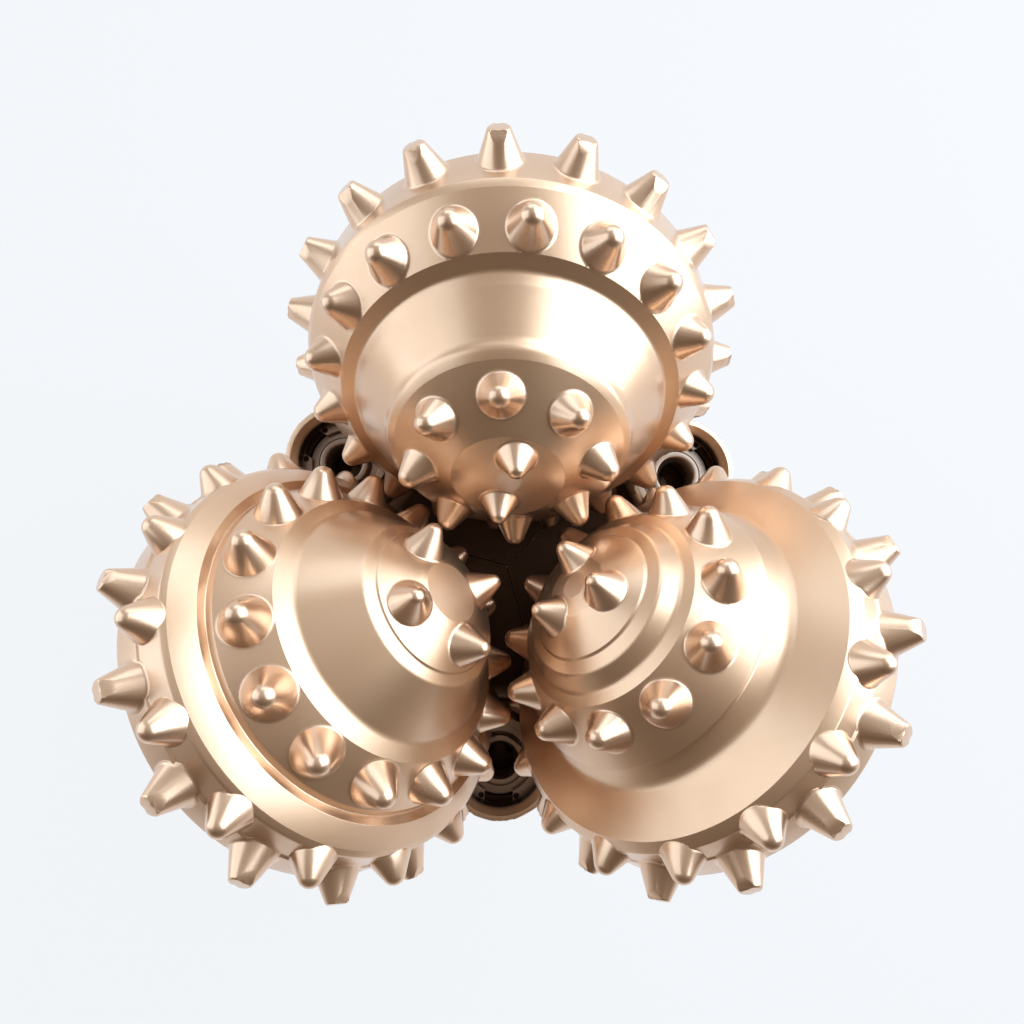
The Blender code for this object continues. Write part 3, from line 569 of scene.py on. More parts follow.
class Land:
    """The cone's outside, which the inserts' feet are fitted to."""

    TOP = 4.0
    BOTTOM = -8.0
    STRIDE = 0.25
    HALVINGS = 10

    def __init__(self, outline: Outline) -> None:
        """Keeps the outside's points in order of height."""
        self.points = sorted(outline)

    def radius(self, along: float) -> float:
        """The outside's radius at a height, nothing beyond the nose."""
        if along <= self.points[0][0]:
            return 0.0
        for (low, first), (high, second) in zip(self.points, self.points[1:]):
            if along <= high:
                return first + (second - first) * ((along - low) / max(1e-9, high - low))
        return self.points[-1][1]

    def meet(self, seat: Matrix, path: Callable[[float], tuple[float, float]]) -> float:
        """The height over a socket at which a path down from above meets the outside.

        Args:
            seat: The socket's place in the cone's frame.
            path: Gives the path's place across the socket at a height, in millimetres.

        Returns:
            The height in millimetres, negative below the socket's own plane.
        """

        def inside(height: float) -> bool:
            """Whether the path at this height is inside the cone."""
            place = seat @ (Vector((*path(height), height)) * MM) / MM
            return hypot(place.x, place.y) < self.radius(place.z)

        high = self.TOP
        while high > self.BOTTOM and not inside(high - self.STRIDE):
            high -= self.STRIDE
        low = high - self.STRIDE
        for _ in range(self.HALVINGS):
            middle = (high + low) / 2
            high, low = (high, middle) if inside(middle) else (middle, low)
        return high


@dataclass(frozen=True)
class InsertRow:
    """A row of pressed-in carbide inserts: where it stands on its cone, and one insert's own sizes."""

    count: int
    along: float
    radius: float
    lean: float
    girth: float
    height: float
    tip: float
    first: float
    gage: bool = False
    sunk: float = 2.0
    foot: float = 0.8
    flare: float = -1.2
    steps: int = 32
    rings: int = 6
    fillet: float = 0.55
    flats: Sequence[tuple[float, float]] = ((1.9, 38.0), (-2.1, -32.0))

    def dome(self) -> tuple[float, float, float]:
        """The tip's dome, tangent to the flank: the flank's angle, its end height and the dome's radius."""
        end = self.height - self.tip * 0.5
        angle = 0.0
        for _ in range(4):
            angle = atan2(self.girth - self.tip, end)
            end = self.height - self.tip * (1.0 - sin(angle)) / cos(angle)
        return angle, end, self.tip / cos(angle)

    def flank(self, height: float) -> float:
        """The flank's radius at a height over the socket; below the flare it runs straight down."""
        slope = (self.girth - self.tip) / (self.height if self.gage else self.dome()[1])
        return self.girth - max(height, self.flare) * slope

    def outline(self) -> Outline:
        """Half of the insert's side view, on a foot of rings that are fitted to the land later."""
        points: Outline = [(-float(self.rings), 0.0)]
        points += [(-float(ring), self.girth) for ring in range(self.rings, 0, -1)]
        if self.gage:
            edge = marked((0.5, self.flank(0.5)), (self.height, self.tip * 0.94, 0.9), (self.height, 0.0))
            return points + rounded(edge)[1:]
        angle, _, radius = self.dome()
        centre = self.height - radius
        for step in range(8):
            turn = angle + (pi / 2 - angle) * step / 7
            points.append((centre + radius * sin(turn), radius * cos(turn) if step < 7 else 0.0))
        return points

    def make(self, name: str, land: Land) -> Piece:
        """Turns one insert, fits its foot to the cone's land and grinds a gage insert's flats."""
        insert = Bench.turned(name, self.outline(), self.steps)
        seat = self.seat(0)
        for vert in insert.data.vertices:
            if vert.co.z > -0.5 * MM:
                continue
            if hypot(vert.co.x, vert.co.y) < MM:
                vert.co.z = (land.meet(seat, lambda height: (0.0, 0.0)) - self.sunk) * MM
            else:
                turn = atan2(vert.co.y, vert.co.x)
                vert.co = Vector(self.foot_point(round(-vert.co.z / MM), turn, seat, land)) * MM
        if self.gage:
            self.grind(insert)
        return insert

    def foot_point(self, ring: int, turn: float, seat: Matrix, land: Land) -> tuple[float, float, float]:
        """Where a foot ring's point lies: the flank's end, the fillet of paint, and the sunk rings."""
        across, away = cos(turn), sin(turn)
        meeting = land.meet(seat, lambda height: (self.flank(height) * across, self.flank(height) * away))
        if ring == 1:
            radius = self.flank(meeting + self.fillet)
            return radius * across, radius * away, meeting + self.fillet
        # How far each ring stands out from the flank, and how high over the land.
        out, lift = {2: (0.10, 0.17), 3: (0.5 * self.foot, 0.05), 4: (self.foot, 0.02),
                     5: (self.foot + 0.05, -0.5), 6: (self.foot + 0.05, -self.sunk)}[ring]
        radius = self.flank(meeting) + out
        place = (radius * across, radius * away)
        surface = meeting if ring == 2 else land.meet(seat, lambda height: place)
        return place[0], place[1], surface + lift

    def grind(self, insert: Piece) -> None:
        """Grinds the chisel flats of a gage insert: one towards the nose and a larger one to the heel."""
        Bench.pick(insert)
        bpy.ops.object.mode_set(mode="EDIT")
        for across, tilt in self.flats:
            lean = radians(tilt)
            bpy.ops.mesh.select_all(action="SELECT")
            bpy.ops.mesh.bisect(plane_co=Vector((0.0, across, self.height)) * MM,
                                plane_no=(0.0, cos(lean) * (1 if tilt > 0 else -1), abs(sin(lean))),
                                use_fill=True, clear_outer=True)
        bpy.ops.object.mode_set(mode="OBJECT")
        Bench.worked(insert, "BEVEL", width=0.22 * MM, segments=2, limit_method="ANGLE", angle_limit=radians(24))

    def seat(self, index: int) -> Matrix:
        """The place of one insert in its cone's frame: Z out of the socket, X round the cone."""
        turn = radians(self.first + 360.0 * index / self.count)
        lean = radians(self.lean)
        outwards = Vector((sin(turn), cos(turn), 0.0))
        up = outwards * cos(lean) - Vector((0.0, 0.0, sin(lean)))
        round_cone = Vector((cos(turn), -sin(turn), 0.0))
        frame = Matrix((round_cone, up.cross(round_cone), up)).transposed().to_4x4()
        place = outwards * self.radius + Vector((0.0, 0.0, self.along))
        return Matrix.Translation(place * MM) @ frame


@dataclass
class RollingCone:
    """A cone shell with its lands and grooves, and its rows of inserts."""

    number: int
    side: Side
    corners: Sequence[Corner]
    rows: Sequence[InsertRow]
    layout: Layout
    steps: int = 144
    mouth: float = 87.0
    lip: float = 31.2
    gland: float = 36.8
    bush_bore: float = 34.0
    race_bore: float = 26.2
    pilot_bore: float = 16.2

    def outside(self) -> Outline:
        """The outside from the mouth's lip over the heel to the nose."""
        return rounded([Corner(self.mouth, self.lip), *self.corners])

    def shell(self) -> Piece:
        """Turns the shell: its outside from heel to nose, then its bearing bores back to the mouth."""
        lip, *outside = self.outside()
        bores: Outline = [(36.0, 0.0), (36.0, self.pilot_bore), (44.3, self.pilot_bore), (44.3, self.race_bore),
                          (48.6, self.race_bore), (51.0, 31.0), (54.6, 32.2), (58.2, 31.0), (60.6, self.race_bore),
                          (62.1, self.race_bore), (62.1, self.bush_bore), (79.4, self.bush_bore),
                          (79.4, self.gland), (85.6, self.gland), (85.6, self.lip)]
        # The bores meet the outside at the mouth's lip, so the outline is one closed loop.
        return Bench.smooth(Bench.turned(f"cone_shell_{self.number}", [*outside, *bores, lip], self.steps,
                                         closed=True), 28.0)

    def insert_row(self, order: int, row: InsertRow) -> Piece:
        """Models one insert of a row and copies it round the cone."""
        first = row.make(f"insert_{self.number}_{order}", Land(self.outside()[1:]))
        Bench.smooth(first, 30.0 if row.gage else 40.0)
        copies = []
        for index in range(row.count):
            copy = Bench.copied(first, f"insert_copy_{index}")
            copy.data.transform(row.seat(index))
            copies.append(copy)
        bpy.data.objects.remove(first, do_unlink=True)
        return Bench.joined(f"cone_{self.number}_row_{order}_inserts", copies)

    def build(self, finishes: Finishes) -> None:
        """Builds the cone, puts it on its journal and coats it."""
        place = self.layout.leg(self.side) @ self.layout.journal()
        body = f"rolling_cone_{self.number}"
        shell = Bench.placed(self.shell(), place)
        Finishes.coat(shell, finishes.cones, "gold_paint")
        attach(shell, body)
        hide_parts(f"cone_{self.number}")
        for order, row in enumerate(self.rows, 1):
            inserts = Bench.placed(self.insert_row(order, row), place)
            Finishes.coat(inserts, finishes.inserts, "carbide")
            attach(inserts, body)
            if order == len(self.rows):
                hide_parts(*[f"nose_insert_{self.number}_{i + 1}" for i in range(row.count)])
        LOG.info("cone %d: shell and %d rows of inserts", self.number, len(self.rows))


@dataclass
class Forging:
    """A leg's forged body: its share of the core, the arm behind the cone and the nozzle boss."""

    layout: Layout
    voxel: float = 1.1
    smoothing: int = 7
    seam_lag: float = 43.0
    weld_gap: float = 0.15
    core_radius: float = 79.0
    shank_radius: float = 71.0
    shank_top: float = 148.0
    foot: float = 132.0
    dome: float = 178.0
    face: float = 88.2
    half_width: float = 46.0
    arm_inside: float = 50.0
    arm_bottom: float = 140.0
    arm_shoulder: float = 226.0
    arm_top: float = 42.0
    leg_radius: float = 104.5
    flare_top: float = 186.0
    boss_radius: float = 22.1
    boss_foot: float = 108.0
    boss_bottom: float = 130.0
    boss_slope_top: float = 158.0
    boss_reach: float = 101.0
    sweep: Sequence[tuple[float, float]] = ((88.2, 0.0), (88.2, 75.8), (71.6, 75.8), (52.0, 64.8),
                                            (20.0, 26.0), (5.0, 0.0))

    def core(self) -> Piece:
        """The core of the three legs, from inside the shank up to the crotch under the cones."""
        inside = self.shank_radius - 0.6
        shoulder = self.shank_top + self.core_radius - self.shank_radius
        return Bench.turned("core", [(self.foot, 0.0), (self.foot, inside), (self.shank_top, inside),
                                     (shoulder, self.core_radius), (self.dome, self.core_radius),
                                     (self.dome, 0.0)], 90)

    def envelope(self, bottom: float, reach: float, slope_top: float) -> Piece:
        """A turned block that trims an arm or a boss to its outside."""
        top = self.layout.apex
        return Bench.turned("envelope", [(bottom, 0.0), (bottom, self.shank_radius - 4.0), (slope_top, reach),
                                         (top, reach), (top, 0.0)], 120)

    def arm(self) -> Piece:
        """The arm behind the cone: a slab with the shirttail's round end, trimmed to the outside and face."""
        outer = 2 * self.leg_radius
        slab = Bench.block("arm", Vector((self.arm_inside, -self.half_width, self.arm_bottom)),
                           Vector((outer, self.half_width, self.arm_shoulder)))
        end = Bench.added("shirttail", bpy.ops.mesh.primitive_cylinder_add, vertices=72, radius=1.0, depth=1.0,
                          rotation=(0.0, pi / 2, 0.0))
        bpy.ops.object.transform_apply(location=False, rotation=True, scale=False)
        end.scale = Vector((outer - self.arm_inside, self.half_width, self.arm_top)) * MM
        end.location = Vector(((self.arm_inside + outer) / 2, 0.0, self.arm_shoulder)) * MM
        bpy.ops.object.transform_apply(location=True, rotation=False, scale=True)
        Bench.met(slab, end, Join.WELD)
        Bench.met(slab, self.envelope(self.arm_bottom, self.leg_radius, self.flare_top), Join.TRIM)
        far = 3 * self.leg_radius
        face = Bench.block("face", Vector((-far, -far, -far)), Vector((far, far, self.face)))
        return Bench.met(slab, Bench.placed(face, self.layout.journal()), Join.CUT)

    def boss(self) -> Piece:
        """The cylindrical boss for the nozzle, between this cone and the next."""
        boss = Bench.bar("boss", self.boss_radius, self.boss_foot, self.layout.boss_top, 72)
        Bench.placed(boss, self.layout.nozzle())
        return Bench.met(boss, self.envelope(self.boss_bottom, self.boss_reach, self.boss_slope_top), Join.TRIM)

    def build(self) -> Piece:
        """Joins the forging, softens it like a forging and cuts it between its two weld faces."""
        forging = self.core()
        Bench.met(forging, self.arm(), Join.WELD)
        Bench.met(forging, self.boss(), Join.WELD)
        for turn in (0.0, self.layout.leg_step, -self.layout.leg_step):
            room = Bench.turned("room", list(self.sweep), 90)
            Bench.met(forging, Bench.placed(room, self.layout.journal(turn)), Join.CUT)
        Bench.worked(forging, "REMESH", mode="VOXEL", voxel_size=self.voxel * MM, adaptivity=0.0)
        Bench.worked(forging, "SMOOTH", factor=0.5, iterations=self.smoothing)
        self.split(forging)
        return forging

    def split(self, forging: Piece) -> None:
        """Keeps the stretch between this leg's two weld faces."""
        Bench.pick(forging)
        bpy.ops.object.mode_set(mode="EDIT")
        for azimuth, way in ((-self.seam_lag, -1.0), (self.layout.leg_step - self.seam_lag, 1.0)):
            turn = radians(azimuth)
            outwards = Vector((-sin(turn), cos(turn), 0.0)) * way
            bpy.ops.mesh.select_all(action="SELECT")
            bpy.ops.mesh.bisect(plane_co=-outwards * self.weld_gap * MM, plane_no=outwards, use_fill=True,
                                clear_outer=True)
        bpy.ops.object.mode_set(mode="OBJECT")


@dataclass
class SnapRing:
    """An internal snap ring on the Z axis, with its gap at +X and a plier hole on either side of it."""

    low: float
    thickness: float
    outer: float
    width: float
    play: float = 0.3
    gap: float = 35.0
    hole: float = 1.2
    hole_step: float = 2.4

    @property
    def groove(self) -> Outline:
        """The groove's two outer corners, a little larger than the ring."""
        return [(self.low - self.play, self.outer + self.play),
                (self.low + self.thickness + self.play, self.outer + self.play)]

    def make(self) -> Piece:
        """Turns the ring, cuts its gap and drills its plier holes."""
        inner, high = self.outer - self.width, self.low + self.thickness
        section = marked((self.low, inner, 0.3), (self.low, self.outer, 0.2), (high, self.outer, 0.3),
                         (high, inner, 0.3))
        ring = Bench.turned("snap_ring", rounded(section, closed=True), 72, closed=True)
        half_gap = 0.5 * self.outer * radians(self.gap)
        Bench.met(ring, Bench.block("gap", Vector((0.0, -half_gap, self.low - 5.0)),
                                    Vector((2 * self.outer, half_gap, high + 5.0))), Join.CUT)
        middle = self.outer - self.width / 2
        for way in (-1.0, 1.0):
            angle = way * (radians(self.gap / 2) + self.hole_step / middle)
            hole = Bench.bar("plier_hole", min(self.hole, 0.3 * self.width), self.low - 2.0, high + 2.0, 20)
            Bench.met(ring, Bench.placed(hole, shifted(middle * cos(angle), middle * sin(angle), 0.0)), Join.CUT)
        return ring


@dataclass
class Nozzle:
    """A jet nozzle in its boss, with the well that it sits in and the snap ring over it."""

    layout: Layout
    ring: SnapRing
    mouth: float = 17.3
    mouth_bevel: float = 3.0
    bore: float = 15.1
    body: float = 14.7
    length: float = 18.0
    neck: float = 10.3
    neck_height: float = 4.2
    throat: float = 5.6
    exit: float = 7.6
    inlet: float = 9.0

    def well(self) -> Piece:
        """The cutter for the well: mouth chamfer, snap ring groove and nozzle bore."""
        top, wide = self.layout.boss_top, self.mouth + self.mouth_bevel
        (low, _), (high, _) = self.ring.groove
        foot = low - self.length - self.ring.play
        return Bench.turned("well", [(foot, 0.0), (foot, self.bore), (low, self.bore), *self.ring.groove,
                                     (high, self.mouth), (top - 2.6, self.mouth), (top + 0.6, wide),
                                     (top + 8.0, wide), (top + 8.0, 0.0)], 72)

    def insert(self) -> Piece:
        """The nozzle itself: a stepped ring with a flared jet hole."""
        play = self.ring.play
        flange = self.ring.low - 2 * play
        foot = flange - self.length + play
        neck_top = self.ring.low - play + self.neck_height
        corners = marked((foot, self.inlet, 1.5), (foot, self.body, 0.4), (flange, self.body, 0.5),
                         (flange, self.neck, 0.5), (neck_top, self.neck, 1.2), (neck_top, self.exit, 0.8),
                         (flange, self.throat, 3.0))
        return Bench.turned("nozzle", rounded(corners, closed=True), 72, closed=True)


@dataclass
class Reservoir:
    """The grease reservoir's mouth in the leg's back: pocket, vented cap and snap ring."""

    ring: SnapRing
    mouth_x: float = 84.0
    mouth_z: float = 166.0
    slope: float = 30.0
    reach: float = 36.0
    pocket: float = 15.1
    spot: float = 17.0
    spot_depth: float = 3.5
    cap_start: float = 6.9
    cap_thickness: float = 4.5
    cap_radius: float = 14.2
    dish: float = 1.2
    vent: float = 1.5

    def axis(self) -> Matrix:
        """The pocket's axis in its leg's frame: Z runs in from the mouth."""
        slope = radians(self.slope)
        return shifted(self.mouth_x, 0.0, self.mouth_z) @ aimed(Vector((-cos(slope), 0.0, sin(slope))))

    def pocket_tool(self) -> Piece:
        """The cutter for the pocket, its spot face and the snap ring's groove."""
        (low, _), (high, _) = self.ring.groove
        return Bench.turned("pocket", [(-self.reach, 0.0), (-self.reach, self.spot), (self.spot_depth, self.spot),
                                       (self.spot_depth, self.pocket), (low, self.pocket), *self.ring.groove,
                                       (high, self.pocket), (self.reach, self.pocket), (self.reach, 0.0)], 72)

    def cap(self) -> Piece:
        """The cap, dished round its vent."""
        low, high = self.cap_start, self.cap_start + self.cap_thickness
        dished = low + self.dish
        corners = marked((high, self.vent), (high, self.cap_radius, 0.3), (low, self.cap_radius, 0.6),
                         (low, 8.5, 0.8), (dished, 6.5, 0.8), (dished, self.vent, 0.3))
        return Bench.turned("cap", rounded(corners, closed=True), 64, closed=True)


@dataclass
class BallHole:
    """The hole in the leg's back that the balls go in through, and the plug in it."""

    start: float = 54.6
    depth: float = 18.4
    slope: float = 13.7
    hole: float = 6.5
    plug: float = 6.0
    plug_start: float = 12.0
    length: float = 75.0

    def axis(self, layout: Layout) -> Matrix:
        """The hole's axis in its leg's frame: Z runs out to the leg's back."""
        slope = radians(self.slope)
        way = aimed(Vector((0.0, sin(slope), cos(slope))), "X")
        return layout.journal() @ shifted(0.0, -self.depth, self.start) @ way


@dataclass
class Leg:
    """A leg: its forging with every machined seat, its journal and the small pieces in its back."""

    layout: Layout
    forging: Forging
    nozzle: Nozzle
    reservoir: Reservoir
    balls: BallHole
    chamber: tuple[float, float, float] = (34.0, 100.0, 150.0)
    passage_radius: float = 9.0
    passage_start: tuple[float, float, float] = (9.0, 0.0, 143.0)
    passage_top: float = 172.0

    def journal(self) -> Piece:
        """The journal, with the ball race and the pilot pin."""
        outline = [(94.0, 0.0), (94.0, 30.0), (62.4, 30.0), (62.4, 25.35), (60.6, 25.35), (58.2, 20.0), (54.6, 18.6),
                   (51.0, 20.0), (48.6, 25.35), (46.8, 25.35), (46.8, 13.0), (36.8, 13.0), (36.8, 0.0)]
        return Bench.placed(Bench.turned("journal", outline, 72), self.layout.journal())

    def passage(self) -> Piece:
        """The cutter for the fluid passage from the chamber to the nozzle."""
        run = Vector((self.layout.nozzle_place, 0.0, self.passage_top)) - Vector(self.passage_start)
        tool = Bench.bar("passage", self.passage_radius, 0.0, run.length, 40)
        return Bench.placed(tool, spun(self.layout.leg_step / 2) @ shifted(*self.passage_start) @ aimed(run))

    def body(self) -> Piece:
        """The forging with its machined holes and its journal."""
        body = self.forging.build()
        Bench.met(body, Bench.bar("chamber", *self.chamber, 72), Join.CUT)
        Bench.met(body, self.journal(), Join.WELD)
        Bench.met(body, Bench.placed(self.nozzle.well(), self.layout.nozzle()), Join.CUT)
        Bench.met(body, self.passage(), Join.CUT)
        Bench.met(body, Bench.placed(self.reservoir.pocket_tool(), self.reservoir.axis()), Join.CUT)
        hole = Bench.bar("ball hole", self.balls.hole, 0.0, self.balls.length, 40)
        Bench.met(body, Bench.placed(hole, self.balls.axis(self.layout)), Join.CUT)
        return Bench.smooth(body, 38.0)

    def plug(self) -> Piece:
        """The ball plug, trimmed to the leg's back."""
        plug = Bench.bar("plug", self.balls.plug, self.balls.plug_start, self.balls.length, 40)
        Bench.placed(plug, self.balls.axis(self.layout))
        shape = self.forging
        return Bench.met(plug, shape.envelope(shape.arm_bottom, shape.leg_radius - 0.3, shape.flare_top), Join.TRIM)

    def build(self, finishes: Finishes) -> None:
        """Models one leg with its small pieces and copies them to the three sides."""
        body = self.body()
        back, jet = self.reservoir.axis(), self.layout.nozzle()
        small = (("ball_plug", self.plug(), finishes.forging, "bare_steel"),
                 ("reservoir_cap", Bench.placed(self.reservoir.cap(), back), finishes.forging, "bare_steel"),
                 ("reservoir_snap_ring", Bench.placed(self.reservoir.ring.make(), back), finishes.forging,
                  "bare_steel"),
                 ("nozzle", Bench.placed(self.nozzle.insert(), jet), finishes.nozzles, "carbide"),
                 ("nozzle_snap_ring", Bench.placed(self.nozzle.ring.make(), jet), finishes.nozzles, "bare_steel"))
        for number, side in enumerate(Side, 1):
            copy = Bench.copied(body, f"leg_{number}_forging")
            copy.data.transform(self.layout.leg(side))
            Finishes.coat(copy, finishes.forging, "gold_paint")
            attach(copy, BIT)
            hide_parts(f"leg_{number}")
            for node, piece, finish, slot in small:
                twin = Bench.copied(piece, f"fine_{node}_{number}")
                twin.data.transform(self.layout.leg(side))
                Bench.smooth(twin, 35.0)
                Finishes.coat(twin, finish, slot)
                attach(twin, BIT)
                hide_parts(f"{node}_{number}")
            LOG.info("leg %d: forging and %d small pieces", number, len(small))
        for piece in (body, *[entry[1] for entry in small]):
            bpy.data.objects.remove(piece, do_unlink=True)


@dataclass
class Pin:
    """The threaded pin and the shank, turned in one after the legs are welded."""

    length: float = 108.0
    small_radius: float = 45.25
    taper: float = 0.125
    pitch: float = 5.08
    depth: float = 2.9
    thread_start: float = 7.0
    thread_turns: int = 17
    thread_steps: int = 72
    fade: float = 0.6
    relief_start: float = 98.0
    shoulder: float = 67.3
    shank: float = 71.0
    shank_top: float = 149.0
    bore: float = 28.6
    bore_top: float = 118.0
    chamber: float = 34.0
    chamber_floor: float = 123.0

    def crest(self, height: float) -> float:
        """The thread's crest radius at a height."""
        return self.small_radius + self.taper * height

    def core(self) -> Piece:
        """The pin at the thread's root, the shoulder, the shank and the water bore."""
        relief = self.crest(self.thread_start + self.thread_turns * self.pitch) - self.depth
        corners = marked((0.0, self.bore, 1.5), (0.0, self.crest(0.0) - self.depth - 3.0, 0.8),
                         (3.0, self.crest(3.0) - self.depth, 0.8), (self.relief_start, relief, 2.0),
                         (self.length, relief, 2.5), (self.length, self.shoulder - 1.0, 0.3),
                         (self.length + 1.0, self.shoulder, 0.4), (self.length + 4.0, self.shank, 1.0),
                         (self.shank_top, self.shank, 0.3), (self.shank_top, self.chamber + 8.0),
                         (self.shank_top, self.chamber, 0.5), (self.chamber_floor, self.chamber, 2.0),
                         (self.bore_top, self.bore, 2.0))
        return Bench.smooth(Bench.turned("pin", rounded(corners, closed=True), 144, closed=True), 30.0)

    def thread(self) -> Piece:
        """The V thread: one coil of a triangle, screwed up the pin and tapered with it."""
        half = self.pitch / 2
        root = self.small_radius - self.depth - 0.3
        flat, crest = root + 0.3, root + 0.3 + self.depth
        coil = Bench.chain("thread", [(-half + 0.05, root), (-half + 0.3, flat), (-0.5, crest), (0.5, crest),
                                      (half - 0.3, flat), (half - 0.05, root)], closed=True)
        bpy.ops.object.mode_set(mode="OBJECT")
        Bench.worked(coil, "SCREW", axis="Z", angle=2 * pi, screw_offset=self.pitch * MM,
                     iterations=self.thread_turns, steps=self.thread_steps, render_steps=self.thread_steps,
                     merge_threshold=1e-7)
        first = self.thread_start + half
        for vert in coil.data.vertices:
            height = vert.co.z / MM + first
            turns = (height - first) / self.pitch
            fade = min(1.0, max(0.0, (turns + 0.4) / self.fade),
                       max(0.0, (self.thread_turns + 0.4 - turns) / self.fade))
            across = hypot(vert.co.x, vert.co.y)
            lift = self.taper * height * MM - (1.0 - fade) * max(0.0, across - root * MM)
            vert.co.x *= (across + lift) / across
            vert.co.y *= (across + lift) / across
            vert.co.z = height * MM
        Bench.pick(coil)
        bpy.ops.object.mode_set(mode="EDIT")
        bpy.ops.mesh.select_all(action="DESELECT")
        bpy.ops.mesh.select_non_manifold()
        bpy.ops.mesh.edge_face_add()
        bpy.ops.mesh.select_all(action="SELECT")
        bpy.ops.mesh.normals_make_consistent(inside=False)
        bpy.ops.object.mode_set(mode="OBJECT")
        return Bench.smooth(coil, 30.0)

    def build(self, finishes: Finishes) -> None:
        """Turns the pin, screws on its thread and coats both."""
        for name, piece, material in (("pin_and_shank", self.core(), finishes.forging),
                                      ("pin_thread", self.thread(), finishes.cones)):
            Bench.named(piece, name)
            Finishes.coat(piece, material, "gold_paint")
            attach(piece, BIT)
        LOG.info("pin and thread")


@dataclass
class WeldSeams:
    """The three weld beads between the legs."""

    layout: Layout
    azimuth: float = 47.0
    bead: float = 2.4
    sunk: float = 1.4
    ripple: float = 2.2
    squash: tuple[float, float, float] = (0.75, 1.15, 0.9)
    path: Sequence[tuple[float, float]] = ((112.0, 71.0), (148.0, 71.0), (156.0, 79.0), (177.5, 79.0),
                                           (178.0, 60.0))

    def drop(self, height: float, radius: float) -> Piece:
        """One drop of the bead."""
        drop = Bench.added("drop", bpy.ops.mesh.primitive_uv_sphere_add, segments=12, ring_count=6,
                           radius=self.bead * MM, location=Vector((radius - self.sunk, 0.0, height)) * MM)
        drop.scale = self.squash
        bpy.ops.object.transform_apply()
        return drop

    def build(self, finishes: Finishes) -> None:
        """Lays a rippled bead up each seam."""
        for number in range(3):
            seam = Bench.joined(f"weld_seam_{number + 1}", [self.drop(*station) for station in self.stations()])
            Bench.placed(Bench.smooth(seam, 60.0), spun(self.azimuth + self.layout.leg_step * number))
            Finishes.coat(seam, finishes.forging, "gold_paint")
            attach(seam, BIT)
        LOG.info("weld seams")

    def stations(self) -> Iterable[tuple[float, float]]:
        """Places one ripple apart along the seam."""
        for (low, start), (high, end) in zip(self.path, self.path[1:]):
            steps = max(1, int(hypot(high - low, end - start) / self.ripple))
            for step in range(steps):
                share = step / steps
                yield low + (high - low) * share, start + (end - start) * share


class Internals:
    """The bearing and reservoir pieces inside, which keep their CAD shape and get their finish."""

    STEEL = ("ball_race", "grease_canister")
    BRONZE = ("journal_bush", "thrust_washer", "pilot_bush")
    RUBBER = ("cone_seal", "grease_diaphragm", "nozzle_oring")

    def __init__(self, nodes: dict) -> None:
        """Keeps the frame's nodes."""
        self.nodes = nodes

    def build(self, finishes: Finishes) -> None:
        """Gives each inner piece its finish."""
        for names, material in ((self.STEEL, finishes.steel), (self.BRONZE, finishes.bronze),
                                (self.RUBBER, finishes.rubber)):
            for name in names:
                for number in range(1, 4):
                    node = self.nodes[f"{name}_{number}"]
                    node.data.materials.clear()
                    node.data.materials.append(material)
        LOG.info("inner pieces dressed")


